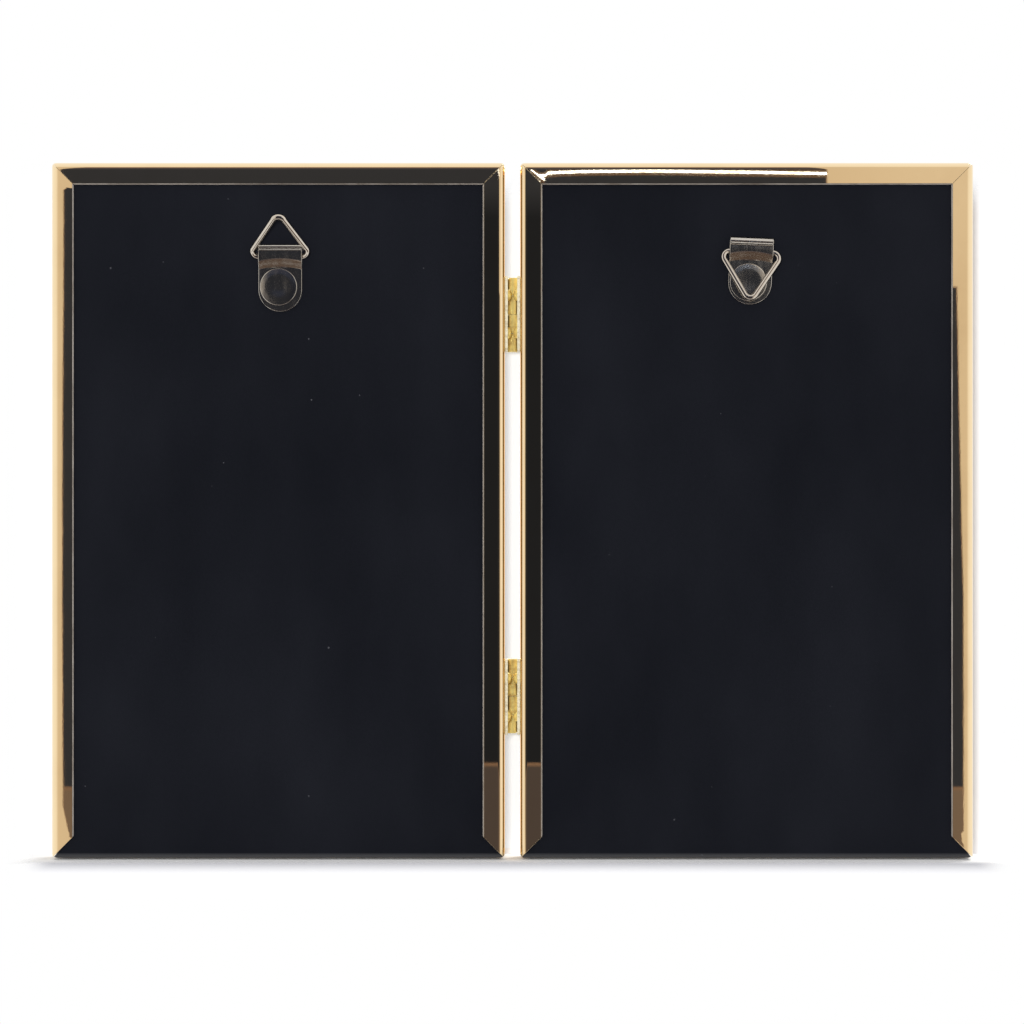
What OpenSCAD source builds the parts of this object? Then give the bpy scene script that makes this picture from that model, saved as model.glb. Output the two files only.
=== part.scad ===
// Hinged double frame for two upright prints, open and flat.
// Two mitred frames of folded sheet stand side by side on their bottom edges and close like a book
// on two small hinges. A velvet covered back slides up into each frame from below, where the frame
// has no rear flange, and carries a riveted strap with a wire ring.
// X runs along the pair, Y from the picture side to the back, Z up.
// The origin is the middle of the base of the whole.
// Names give the side as seen from the picture side.

/* [Prints] */
// Width of one print
print_w = 101.6; // [92:0.1:130]
// Height of one print
print_h = 152.4; // [130:0.1:180]
// Thickness of the blank sheet in place of the print
insert_t = 0.3; // [0.2:0.05:0.6]
// From the side of a print to the outside of its frame
side_room = 2.95; // [2.6:0.05:5]
// From the end of a print to the outside of its frame
end_room = 6.3; // [5:0.1:8]

/* [Frame rails] */
// Thickness of the folded sheet
sheet_t = 0.8; // [0.6:0.05:0.9]
// Outside radius of the folds along a rail
fold_r = 1.35; // [1.1:0.05:1.6]
// Width of the picture side of a rail
face_w = 8.4; // [7.5:0.1:9.5]
// Outside radius of the fold round the picture opening
lip_r = 1; // [0.95:0.05:1.2]
// How far the lip of the picture opening reaches in from the front
lip_d = 1.5; // [1.3:0.1:2]
// Width of the rear flange
flange_w = 5.3; // [4:0.1:6.5]
// Bevel along the cut edge of the rear flange
flange_bevel = 0.3; // [0.1:0.05:0.5]
// Radius of the four corners of a frame
corner_r = 1.2; // [0.6:0.1:2]
// Gap between two rails at a mitre
mitre_gap = 0.06; // [0.04:0.01:0.3]
// Length of each leg of a corner key
key_leg = 12; // [8:0.5:16]
// Thickness of a corner key
key_t = 0.8; // [0.5:0.1:1]
// Width of a corner key
key_w = 3.8; // [2.5:0.1:4]

/* [Glass and filling] */
// Thickness of the glass
glass_t = 2; // [1.6:0.1:3]
// Thickness of the card behind the print
card_t = 1.8; // [1.2:0.1:3]
// Gap between the lip and the glass
glass_gap = 0.1; // [0.05:0.05:0.3]
// Gap between the corner keys and the edge of the glass
edge_gap = 0.3; // [0.1:0.05:0.6]

/* [Sliding back] */
// Thickness of the board
board_t = 3; // [2.4:0.1:4]
// Thickness of the velvet
velvet_t = 0.5; // [0.4:0.05:0.8]
// Thickness of the lining on the inner side
lining_t = 0.4; // [0.2:0.05:0.5]
// Width of the velvet turned in round the inner side
turn_in = 8; // [5:0.5:15]
// Gap between the back and the rails at its edges
slide_gap = 0.6; // [0.45:0.05:0.8]
// Gap between the velvet and the rear flange
rear_gap = 0.3; // [0.15:0.05:0.6]
// Gap between the card and what stands proud inside the back
inner_gap = 0.2; // [0.1:0.05:0.6]

/* [Hanger straps] */
// Width of a strap
strap_w = 10.3; // [9:0.1:12]
// Thickness of the strap
strap_t = 0.5; // [0.4:0.05:0.6]
// Flat part of the upper layer, from the fold to the bend down
strap_flat = 3.65; // [3.6:0.05:4.5]
// Radius of the two bends of the upper layer, to the middle of the sheet
strap_bend_r = 0.8; // [0.5:0.05:0.9]
// Slope of the upper layer between those bends
strap_slope = 50; // [45:1:50]
// From the foot of that slope to the head of the right strap's rivet
right_rivet_room = 0.1; // [0.1:0.05:1]
// From the foot of that slope to the head of the left strap's rivet
left_rivet_room = 0.7; // [0.1:0.05:1]
// From the further rivet to the middle of the round end of both straps
strap_tail = 0.1; // [0:0.05:2]
// Gap left between the two layers
strap_gap = 0.04; // [0.02:0.01:0.1]
// From the top of the right frame to its strap
right_strap_drop = 19.4; // [16:0.1:40]
// From the top of the left frame to its strap
left_strap_drop = 17.7; // [16:0.1:40]
// How far the right strap is off the middle, away from the hinges
right_strap_shift = -0.5; // [-3:0.1:3]
// How far the left strap is off the middle, away from the hinges
left_strap_shift = 1.2; // [-3:0.1:3]
// Lean of the left strap
left_strap_lean = 2.5; // [0:0.5:5]

/* [Hanger rivets] */
// Diameter of the dished head
rivet_head_d = 8.8; // [7:0.1:9.4]
// Diameter of the dish in the head
rivet_dish_d = 6.7; // [5:0.1:7]
// Height of the rim of the head at the dish
rivet_rim_h = 0.65; // [0.6:0.05:0.75]
// Height of the rim of the head at its outer edge
rivet_edge_h = 0.5; // [0.3:0.05:0.55]
// Radius of the edges of the rim
rivet_edge_r = 0.2; // [0.05:0.05:0.25]
// Height of the floor of the dish
rivet_floor_h = 0.4; // [0.15:0.05:0.4]
// How far the rivets are off the middle of their straps, to the same hand
rivet_shift = 0.4; // [-0.6:0.1:0.6]
// Diameter of the shank
rivet_shank_d = 3.2; // [2:0.1:4]
// Diameter of the washer on the inner side
washer_d = 7; // [5:0.1:9]
// Thickness of that washer
washer_t = 0.5; // [0.3:0.05:0.6]

/* [Hanger rings] */
// Diameter of the wire
wire_d = 1.3; // [1:0.05:1.3]
// Width of a ring over its outside
ring_w = 14.4; // [14.2:0.1:16]
// Height of a ring from the middle of its bar to the outside of its tip
ring_h = 12; // [11:0.1:13]
// Radius of the two lower corners, to the middle of the wire
ring_corner_r = 1.5; // [1.4:0.05:1.6]
// Radius of the tip, to the middle of the wire
ring_tip_r = 1.5; // [0.9:0.05:1.6]
// Gap where the ends of the wire meet inside the strap
ring_joint = 0.3; // [0.1:0.1:1]
// From the fold of the right strap to the bar of its ring, which is pulled up
right_ring_seat = 3; // [2.9:0.05:3.5]
// From the fold of the left strap to the bar of its ring, which hangs
left_ring_seat = 3.5; // [2.9:0.05:3.5]
// Play of the wire inside the strap, on each side
ring_play = 0.1; // [0.08:0.01:0.2]
// Angle of the right ring from hanging straight down
right_ring_angle = 141; // [120:1:153]
// Angle of the left ring from hanging straight down
left_ring_angle = 14; // [14:1:60]

/* [Hinges] */
// Length of a hinge
hinge_l = 17.8; // [15:0.1:24]
// From the top of the frames to the middle of the upper hinge
hinge_from_top = 35.6; // [30:0.1:60]
// From the base to the middle of the lower hinge
hinge_from_base = 38; // [30:0.1:60]
// How far the pin stands in front of the frames
pin_proud = 0.25; // [0.15:0.05:0.6]
// Diameter of the pin
pin_d = 2.1; // [1.6:0.1:2.4]
// Running clearance round the pin
pin_play = 0.05; // [0.03:0.01:0.09]
// Thickness of a leaf
leaf_t = 0.7; // [0.6:0.05:0.9]
// From the pin to the rear edge of a leaf
leaf_w = 8.6; // [8:0.1:9.2]
// Radius of the rear corners of a leaf
leaf_corner_r = 1; // [0.5:0.1:2]
// Gap between two knuckles
knuckle_gap = 0.12; // [0.08:0.02:0.3]
// Gap between a leaf and the knuckles of the other leaf
notch_gap = 0.2; // [0.15:0.05:0.4]
// Width of the seam where a knuckle's curl ends
seam_w = 0.18; // [0.1:0.02:0.3]
// Distance between the two rivets of a leaf
leaf_rivet_pitch = 9; // [7:0.1:11]
// From the pin to the rivets
leaf_rivet_back = 5.2; // [4.6:0.1:5.6]
// Diameter of a rivet's round head
leaf_rivet_head_d = 2.75; // [2.2:0.05:3]
// Height of a rivet's round head
leaf_rivet_head_h = 0.9; // [0.6:0.05:0.9]
// Diameter of a rivet's shank
leaf_rivet_d = 1.5; // [1:0.1:1.6]
// Height of a rivet's spread inner end
leaf_rivet_burr_h = 0.3; // [0.2:0.05:0.35]

/* [Hidden] */

// Overrun of every cut
cut = 0.5;
// Clearance of a fixed shank in its hole
hole_gap = 0.05;
// How far a straight length of wire runs into its bends, and how much slimmer it is
wire_bite = 0.1;
wire_slim = 0.02;
// Turn of one facet of a bend
bend_step = 10;
$fn = 48;

// Sides of the pair
RIGHT = 1;
LEFT = -1;

// Colours
gold = [0.85, 0.68, 0.42];
brass = [0.80, 0.62, 0.24];
nickel = [0.62, 0.60, 0.57];
black_velvet = [0.07, 0.07, 0.09];
fibreboard = [0.36, 0.26, 0.17];
black_paper = [0.13, 0.13, 0.14];
grey_card = [0.62, 0.60, 0.56];
blank_paper = [0.93, 0.92, 0.89];
clear_glass = [0.75, 0.85, 0.85, 0.35];

// One frame
panel_w = print_w + 2 * side_room;
panel_h = print_h + 2 * end_room;
mitre_step = mitre_gap / sqrt(2);

// Layers of one frame, as distances back from its front
glass_v = lip_d + glass_gap;
insert_v = glass_v + glass_t;
card_v = insert_v + insert_t;
washer_v = card_v + card_t + inner_gap;
back_v = washer_v + washer_t;
velvet_v = back_v + lining_t + board_t + velvet_t;
rail_d = velvet_v + rear_gap + sheet_t;
bottom_wall_d = washer_v - inner_gap;
key_v = bottom_wall_d - key_w;

// What fills the frame inside its corner keys
pane_inset = sheet_t + key_t + edge_gap;
pane_w = panel_w - 2 * pane_inset;
pane_h = panel_h - 2 * pane_inset;

// Edges of the sliding back
back_inset = sheet_t + slide_gap;
shoulder_gap = rear_gap * sqrt(2);

// Folded strap: its loop takes the wire with play above and below
loop_h = wire_d + 2 * ring_play;
loop_r = loop_h / 2 + strap_t;
strap_top_h = 2 * strap_t + strap_gap;
strap_drop = loop_h - strap_gap;
strap_drop_l = (strap_drop - 2 * strap_bend_r * (1 - cos(strap_slope))) / sin(strap_slope);
strap_run = 2 * strap_bend_r * sin(strap_slope) + strap_drop_l * cos(strap_slope);
strap_end_r = strap_w / 2;
strap_rivet_s = strap_flat + strap_run + rivet_head_d / 2;
strap_end_s = strap_rivet_s + max(right_rivet_room, left_rivet_room) + strap_tail;
strap_l = strap_end_s + strap_end_r;

// Ring, to the middle of its wire: bar along X, tip down
wire_r = wire_d / 2;
ring_half_w = ring_w / 2 - wire_r;
ring_tip = ring_h - wire_r;
ring_bar_half = ring_half_w - ring_corner_r;
ring_rise = ring_tip - ring_tip_r - ring_corner_r;
ring_reach = norm([ring_bar_half, ring_rise]);
ring_side = acos((ring_tip_r - ring_corner_r) / ring_reach) - atan2(ring_rise, ring_bar_half);
ring_bar_y = strap_t + loop_h / 2;

// Hinge: the barrel is as wide as the gap between the frames
bore_r = pin_d / 2 + pin_play;
barrel_r = bore_r + leaf_t;
panel_gap = 2 * barrel_r;
knuckle_count = 4;
knuckle_pitch = hinge_l / knuckle_count;
notch_y = sqrt(pow(barrel_r + notch_gap, 2) - pow(bore_r, 2));
seam_angle = 62;
hinge_base = [panel_h - hinge_from_top - hinge_l / 2, hinge_from_base - hinge_l / 2];

// Middle of the whole, front to back, as a distance back from the front of a frame
front_reach = -pin_proud - barrel_r;
tip_reach = max(sin(right_ring_angle), sin(left_ring_angle)) * ring_tip + wire_r;
rear_reach = max(rail_d, velvet_v + ring_bar_y + tip_reach);
middle_v = (front_reach + rear_reach) / 2;

// Direction to the left of a heading, and along it
function left_of(a) = [-sin(a), cos(a)];
function ahead_of(a) = [cos(a), sin(a)];
function reversed(list) = [for (i = [len(list) - 1:-1:0]) list[i]];
function turned(steps, i = 0) = i == len(steps) ? 0 : steps[i][1] + turned(steps, i + 1);

// One side of a folded strip. Each step is [length, 0] or [bend radius, turn].
function strip_side(steps, off, p, a, i = 0) =
    i == len(steps)
    ? [p + off * left_of(a)]
    : steps[i][1] == 0
    ? concat(
        [p + off * left_of(a)],
        strip_side(steps, off, p + steps[i][0] * ahead_of(a), a, i + 1)
    )
    : let (
        r = steps[i][0],
        turn = steps[i][1],
        way = sign(turn),
        facets = ceil(abs(turn) / bend_step),
        c = p + way * r * left_of(a)
    )
    concat(
        [for (j = [0:facets - 1]) c + (off - way * r) * left_of(a + turn * j / facets)],
        strip_side(steps, off, c - way * r * left_of(a + turn), a + turn, i + 1)
    );

// Section of a folded strip, with a bevel on the outer corner of its far end
module strip(steps, t, start, heading, bevel = 0) {
    outer = strip_side(steps, t / 2, start, heading);
    inner = strip_side(steps, -t / 2, start, heading);
    last = len(outer) - 1;
    end = heading + turned(steps);
    tip = bevel > 0
        ? [outer[last] - bevel * ahead_of(end), outer[last] - bevel * left_of(end)]
        : [outer[last]];
    polygon(concat([for (i = [0:last - 1]) outer[i]], tip, reversed(inner)));
}

// Points of a quarter circle about c, from angle a
function quarter(c, r, a) = [for (b = [0:bend_step:90]) c + r * ahead_of(a + b)];

// Rectangle with round corners, standing in from the frame's outline
module rounded_outline(inset, r) {
    lo = inset + r;
    hi_x = panel_w - inset - r;
    hi_z = panel_h - inset - r;
    polygon(concat(
        quarter([hi_x, hi_z], r, 0),
        quarter([lo, hi_z], r, 90),
        quarter([lo, lo], r, 180),
        quarter([hi_x, lo], r, 270)
    ));
}

// A flat outline in X and Z, made thick towards the back
module upright(v, d) {
    translate([0, v, 0])
        rotate([90, 0, 0])
            mirror([0, 0, 1])
                linear_extrude(d)
                    children();
}

// Places a piece of one frame, drawn from its hinge side outwards
module in_panel(side) {
    if (side == RIGHT)
        translate([panel_gap / 2, -middle_v, 0]) children();
    else
        mirror([1, 0, 0]) translate([panel_gap / 2, -middle_v, 0]) children();
}

// Section of a rail: lip, picture side, wall and rear flange
module rail_section() {
    strip(
        [
            [lip_d - lip_r, 0],
            [lip_r - sheet_t / 2, -90],
            [face_w - lip_r - fold_r, 0],
            [fold_r - sheet_t / 2, -90],
            [rail_d - 2 * fold_r, 0],
            [fold_r - sheet_t / 2, -90],
            [flange_w - fold_r, 0]
        ],
        sheet_t, [face_w - sheet_t / 2, lip_d], 270, flange_bevel
    );
}

// Section of the bottom rail, which has no rear flange
module bottom_section() {
    strip(
        [
            [lip_d - lip_r, 0],
            [lip_r - sheet_t / 2, -90],
            [face_w - lip_r - fold_r, 0],
            [fold_r - sheet_t / 2, -90],
            [bottom_wall_d - fold_r, 0]
        ],
        sheet_t, [face_w - sheet_t / 2, lip_d], 270
    );
}

// Keeps what lies between two mitre lines of an upright side
module mitred_upright() {
    intersection() {
        children();
        upright(-cut, rail_d + 2 * cut)
            intersection() {
                rounded_outline(0, corner_r);
                polygon([
                    [0, mitre_step],
                    [face_w, face_w + mitre_step],
                    [face_w, panel_h - face_w - mitre_step],
                    [0, panel_h - mitre_step]
                ]);
            }
    }
}

// Keeps what lies between two mitre lines of the base or top
module mitred_level(at_top) {
    far = at_top ? panel_h : 0;
    near = at_top ? panel_h - face_w : face_w;
    intersection() {
        children();
        upright(-cut, rail_d + 2 * cut)
            intersection() {
                rounded_outline(0, corner_r);
                polygon([
                    [mitre_step, far],
                    [panel_w - mitre_step, far],
                    [panel_w - face_w - mitre_step, near],
                    [face_w + mitre_step, near]
                ]);
            }
    }
}

module rail_inner() {
    difference() {
        mitred_upright()
            linear_extrude(panel_h)
                rail_section();
        for (base = hinge_base)
            translate([-cut, leaf_rivet_back - pin_proud, base + hinge_l / 2])
                leaf_rivet_bores(sheet_t + 2 * cut);
    }
}

module rail_outer() {
    translate([panel_w, 0, 0])
        mirror([1, 0, 0])
            mitred_upright()
                linear_extrude(panel_h)
                    rail_section();
}

module rail_top() {
    mitred_level(true)
        translate([0, 0, panel_h])
            rotate([0, 90, 0])
                linear_extrude(panel_w)
                    rail_section();
}

module rail_bottom() {
    mitred_level(false)
        mirror([0, 0, 1])
            rotate([0, 90, 0])
                linear_extrude(panel_w)
                    bottom_section();
}

// Angle strips that join the rails behind the picture side
module corner_keys() {
    a = sheet_t;
    b = sheet_t + key_t;
    c = sheet_t + key_leg;
    for (flip_x = [0, 1], flip_z = [0, 1])
        translate([flip_x * panel_w, 0, flip_z * panel_h])
            scale_sign(flip_x, flip_z)
                upright(key_v, key_w)
                    polygon([[a, a], [c, a], [c, b], [b, b], [b, c], [a, c]]);
}

// Mirrors across X, across Z or across both
module scale_sign(flip_x, flip_z) {
    if (flip_x == 1 && flip_z == 1)
        rotate([0, 180, 0]) children();
    else if (flip_x == 1)
        mirror([1, 0, 0]) children();
    else if (flip_z == 1)
        mirror([0, 0, 1]) children();
    else
        children();
}

module pane(v, t) {
    translate([pane_inset, v, pane_inset])
        cube([pane_w, t, pane_h]);
}

module photo_insert() {
    translate([side_room, insert_v, end_room])
        cube([print_w, insert_t, print_h]);
}

// Outline of the back, standing in by a skin: square above, and at its foot spread under the
// mitred ends of the rails
module back_outline(skin) {
    side = back_inset + skin;
    shoulder = side - shoulder_gap - skin * sqrt(2);
    intersection() {
        rounded_outline(skin, corner_r);
        polygon([
            [side - shoulder, 0],
            [side, shoulder],
            [side, panel_h - side],
            [panel_w - side, panel_h - side],
            [panel_w - side, shoulder],
            [panel_w - side + shoulder, 0]
        ]);
    }
}

// Where the hanger of one side stands: top middle of its strap on the velvet
function hanger_x(side) =
    panel_w / 2 + (side == RIGHT ? right_strap_shift : left_strap_shift);
function hanger_z(side) =
    panel_h - (side == RIGHT ? right_strap_drop : left_strap_drop);
function hanger_lean(side) = side == RIGHT ? 0 : left_strap_lean;
function rivet_room(side) = side == RIGHT ? right_rivet_room : left_rivet_room;

// Places a hanger piece, drawn with the strap's fold at the origin and the velvet at Y = 0
module at_hanger(side) {
    in_panel(side)
        translate([hanger_x(side), velvet_v, hanger_z(side)])
            rotate([0, hanger_lean(side), 0])
                children();
}

// Places a piece on the axis of a hanger's rivet, with Z from the board to the head
module at_rivet(side) {
    at_hanger(side)
        translate([side * rivet_shift, 0, -strap_rivet_s - rivet_room(side)])
            rotate([-90, 0, 0])
                children();
}

// Bore for the hanger's rivet through the back and its strap
module hanger_bore(side) {
    through = velvet_v - washer_v + strap_top_h;
    at_rivet(side)
        translate([0, 0, washer_v - velvet_v - cut])
            cylinder(h = through + 2 * cut, d = rivet_shank_d + 2 * hole_gap);
}

module back_board(side) {
    difference() {
        in_panel(side)
            upright(back_v + lining_t, board_t)
                back_outline(velvet_t);
        hanger_bore(side);
    }
}

// Velvet over the rear face and round the edges, and turned in on the inner face
module back_velvet(side) {
    difference() {
        in_panel(side)
            difference() {
                upright(back_v, velvet_v - back_v)
                    back_outline(0);
                upright(back_v + lining_t, board_t)
                    back_outline(velvet_t);
                upright(back_v - cut, lining_t + 2 * cut)
                    lining_outline();
            }
        hanger_bore(side);
    }
}

// The lining lies inside the turned-in velvet
module lining_outline() {
    inset = back_inset + turn_in;
    translate([inset, inset])
        square([panel_w - 2 * inset, panel_h - 2 * inset]);
}

module back_lining(side) {
    difference() {
        in_panel(side)
            upright(back_v, lining_t)
                lining_outline();
        hanger_bore(side);
    }
}

// Strap of sheet, folded over the ring's bar and pressed flat on itself round its rivet
module hanger_strap(side) {
    difference() {
        at_hanger(side) intersection() {
            translate([-strap_w / 2, 0, 0])
                rotate([0, 90, 0])
                    linear_extrude(strap_w)
                        strip(
                            [
                                [strap_l - loop_r, 0],
                                [loop_r - strap_t / 2, -180],
                                [strap_flat - loop_r, 0],
                                [strap_bend_r, -strap_slope],
                                [strap_drop_l, 0],
                                [strap_bend_r, strap_slope],
                                [strap_l - strap_flat - strap_run, 0]
                            ],
                            strap_t, [strap_l, strap_t / 2], 180
                        );
            upright(-cut, 2 * loop_r + 2 * cut)
                polygon(concat(
                    quarter([0, -strap_end_s], strap_end_r, 180),
                    quarter([0, -strap_end_s], strap_end_r, 270),
                    [[strap_end_r, cut], [-strap_end_r, cut]]
                ));
        }
        hanger_bore(side);
    }
}

// Rivet with a wide dished head, from the strap through the back
module hanger_rivet(side) {
    shank_l = strap_top_h + velvet_v - washer_v;
    head_r = rivet_head_d / 2;
    dish_r = rivet_dish_d / 2;
    e = rivet_edge_r;
    at_rivet(side)
        translate([0, 0, strap_top_h])
            rotate_extrude()
                polygon(concat(
                    [[0, -shank_l], [rivet_shank_d / 2, -shank_l], [rivet_shank_d / 2, 0]],
                    [[head_r, 0]],
                    quarter([head_r - e, rivet_edge_h - e], e, 0),
                    quarter([dish_r + e, rivet_rim_h - e], e, 90),
                    [[dish_r, rivet_floor_h], [0, rivet_floor_h]]
                ));
}

module hanger_washer(side) {
    at_rivet(side)
        translate([0, 0, washer_v - velvet_v])
            difference() {
                cylinder(h = washer_t, d = washer_d);
                translate([0, 0, -cut])
                    cylinder(h = washer_t + 2 * cut, d = rivet_shank_d + 2 * hole_gap);
            }
}

// A bend of the ring's wire about c, from angle a over a turn
module wire_bend(c, r, a, turn) {
    translate([c[0], 0, c[1]])
        rotate([90, 0, 0])
            rotate([0, 0, a])
                rotate_extrude(angle = turn)
                    translate([r, 0])
                        circle(d = wire_d);
}

// Half of the ring: half of the bar, a corner and a leg
module ring_half() {
    corner = [ring_bar_half, -ring_corner_r];
    tip = [0, ring_tip_r - ring_tip];
    out = [cos(ring_side), -sin(ring_side)];
    from = corner + ring_corner_r * out;
    leg = norm(tip + ring_tip_r * out - from);
    translate([ring_joint / 2, 0, 0])
        rotate([0, 90, 0])
            cylinder(h = ring_bar_half - ring_joint / 2 + wire_bite, d = wire_d - wire_slim);
    wire_bend(corner, ring_corner_r, -ring_side, 90 + ring_side);
    translate([from[0], 0, from[1]])
        rotate([0, 180 + ring_side, 0])
            translate([0, 0, -wire_bite])
                cylinder(h = leg + 2 * wire_bite, d = wire_d - wire_slim);
}

// Triangular ring of round wire, swung out by an angle from hanging straight down
module hanger_ring(side) {
    seat = side == RIGHT ? right_ring_seat : left_ring_seat;
    angle = side == RIGHT ? right_ring_angle : left_ring_angle;
    at_hanger(side)
        translate([0, ring_bar_y, -seat])
            rotate([angle, 0, 0]) {
                ring_half();
                mirror([1, 0, 0]) ring_half();
                wire_bend([0, ring_tip_r - ring_tip], ring_tip_r, ring_side - 180, 180 - 2 * ring_side);
            }
}

// Places a hinge piece: the pin's axis at the origin and the hinge's base at Z = 0
module at_hinge(side, base) {
    if (side == RIGHT)
        translate([0, -pin_proud - middle_v, base]) children();
    else
        mirror([1, 0, 0]) translate([0, -pin_proud - middle_v, base]) children();
}

// Bores for the two rivets of a leaf, along X, about the middle of the hinge
module leaf_rivet_bores(h) {
    for (way = [-1, 1])
        translate([0, 0, way * leaf_rivet_pitch / 2])
            rotate([0, 90, 0])
                cylinder(h = h, d = leaf_rivet_d + 2 * hole_gap, $fn = 24);
}

// Leaf with curled knuckles in every second place from the top, first or second.
// The other leaf's knuckles run in its notches.
module hinge_leaf(first) {
    difference() {
        union() {
            difference() {
                leaf_plate();
                for (i = [1 - first:2:knuckle_count - 1])
                    translate([bore_r - cut, -cut, knuckle_z(i) - knuckle_gap / 2])
                        cube([leaf_t + 2 * cut, notch_y + cut, knuckle_pitch + knuckle_gap]);
                end = first == 0 ? 0 : hinge_l;
                translate([bore_r - cut, -cut, end - cut])
                    cube([leaf_t + 2 * cut, notch_y + cut, 2 * cut]);
            }
            for (i = [first:2:knuckle_count - 1])
                translate([0, 0, knuckle_foot(i)])
                    cylinder(h = knuckle_head(i) - knuckle_foot(i), r = barrel_r);
        }
        translate([0, 0, -cut])
            cylinder(h = hinge_l + 2 * cut, r = bore_r);
        translate([0, 0, -cut])
            rotate([0, 0, seam_angle])
                translate([0, -seam_w / 2, 0])
                    cube([barrel_r + cut, seam_w, hinge_l + 2 * cut]);
        translate([bore_r - cut, leaf_rivet_back, hinge_l / 2])
            leaf_rivet_bores(leaf_t + 2 * cut);
    }
}

// Foot of the place of a knuckle counted from the top, and its ends less the gaps
function knuckle_z(i) = hinge_l - (i + 1) * knuckle_pitch;
function knuckle_foot(i) = knuckle_z(i) + (i == knuckle_count - 1 ? 0 : knuckle_gap / 2);
function knuckle_head(i) = knuckle_z(i) + knuckle_pitch - (i == 0 ? 0 : knuckle_gap / 2);

// Plate of a leaf, flat on the wall of its frame, with round rear corners
module leaf_plate() {
    r = leaf_corner_r;
    translate([bore_r, 0, 0])
        rotate([90, 0, 90])
            linear_extrude(leaf_t)
                polygon(concat(
                    [[0, hinge_l], [0, 0]],
                    quarter([leaf_w - r, r], r, 270),
                    quarter([leaf_w - r, hinge_l - r], r, 0)
                ));
}

// Round headed rivet from the leaf through the frame's wall, with a spread inner end
module leaf_rivet() {
    shank_r = leaf_rivet_d / 2;
    head_r = leaf_rivet_head_d / 2;
    through = leaf_t + sheet_t;
    dome = [
        for (a = [0:bend_step:90])
            [head_r * sin(a), -leaf_rivet_head_h * cos(a)]
    ];
    rotate([0, 90, 0])
        rotate_extrude($fn = 32)
            polygon(concat(
                dome,
                [
                    [shank_r, 0],
                    [shank_r, through],
                    [head_r, through],
                    [shank_r, through + leaf_rivet_burr_h],
                    [0, through + leaf_rivet_burr_h]
                ]
            ));
}

module hinge_rivets(side) {
    for (base = hinge_base, way = [-1, 1])
        at_hinge(side, base)
            translate([bore_r, leaf_rivet_back, hinge_l / 2 + way * leaf_rivet_pitch / 2])
                leaf_rivet();
}

module hinge_pin(base) {
    at_hinge(RIGHT, base)
        cylinder(h = hinge_l, d = pin_d);
}

// Pieces of the right frame
module right_rail_top() { color(gold) in_panel(RIGHT) rail_top(); }
module right_rail_outer() { color(gold) in_panel(RIGHT) rail_outer(); }
module right_rail_inner() { color(gold) in_panel(RIGHT) rail_inner(); }
module right_rail_bottom() { color(gold) in_panel(RIGHT) rail_bottom(); }
module right_corner_keys() { color(nickel) in_panel(RIGHT) corner_keys(); }
module right_glass() { color(clear_glass) in_panel(RIGHT) pane(glass_v, glass_t); }
module right_photo_insert() { color(blank_paper) in_panel(RIGHT) photo_insert(); }
module right_spacer_card() { color(grey_card) in_panel(RIGHT) pane(card_v, card_t); }
module right_back_board() { color(fibreboard) back_board(RIGHT); }
module right_back_velvet() { color(black_velvet) back_velvet(RIGHT); }
module right_back_lining() { color(black_paper) back_lining(RIGHT); }
module right_hanger_strap() { color(nickel) hanger_strap(RIGHT); }
module right_hanger_rivet() { color(nickel) hanger_rivet(RIGHT); }
module right_hanger_washer() { color(nickel) hanger_washer(RIGHT); }
module right_hanger_ring() { color(nickel) hanger_ring(RIGHT); }
module right_hinge_leaf_upper() { color(brass) at_hinge(RIGHT, hinge_base[0]) hinge_leaf(0); }
module right_hinge_leaf_lower() { color(brass) at_hinge(RIGHT, hinge_base[1]) hinge_leaf(0); }
module right_hinge_rivets() { color(brass) hinge_rivets(RIGHT); }

// Pieces of the left frame
module left_rail_top() { color(gold) in_panel(LEFT) rail_top(); }
module left_rail_outer() { color(gold) in_panel(LEFT) rail_outer(); }
module left_rail_inner() { color(gold) in_panel(LEFT) rail_inner(); }
module left_rail_bottom() { color(gold) in_panel(LEFT) rail_bottom(); }
module left_corner_keys() { color(nickel) in_panel(LEFT) corner_keys(); }
module left_glass() { color(clear_glass) in_panel(LEFT) pane(glass_v, glass_t); }
module left_photo_insert() { color(blank_paper) in_panel(LEFT) photo_insert(); }
module left_spacer_card() { color(grey_card) in_panel(LEFT) pane(card_v, card_t); }
module left_back_board() { color(fibreboard) back_board(LEFT); }
module left_back_velvet() { color(black_velvet) back_velvet(LEFT); }
module left_back_lining() { color(black_paper) back_lining(LEFT); }
module left_hanger_strap() { color(nickel) hanger_strap(LEFT); }
module left_hanger_rivet() { color(nickel) hanger_rivet(LEFT); }
module left_hanger_washer() { color(nickel) hanger_washer(LEFT); }
module left_hanger_ring() { color(nickel) hanger_ring(LEFT); }
module left_hinge_leaf_upper() { color(brass) at_hinge(LEFT, hinge_base[0]) hinge_leaf(1); }
module left_hinge_leaf_lower() { color(brass) at_hinge(LEFT, hinge_base[1]) hinge_leaf(1); }
module left_hinge_rivets() { color(brass) hinge_rivets(LEFT); }

// Pins of the two hinges
module hinge_pin_upper() { color(brass) hinge_pin(hinge_base[0]); }
module hinge_pin_lower() { color(brass) hinge_pin(hinge_base[1]); }

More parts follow.
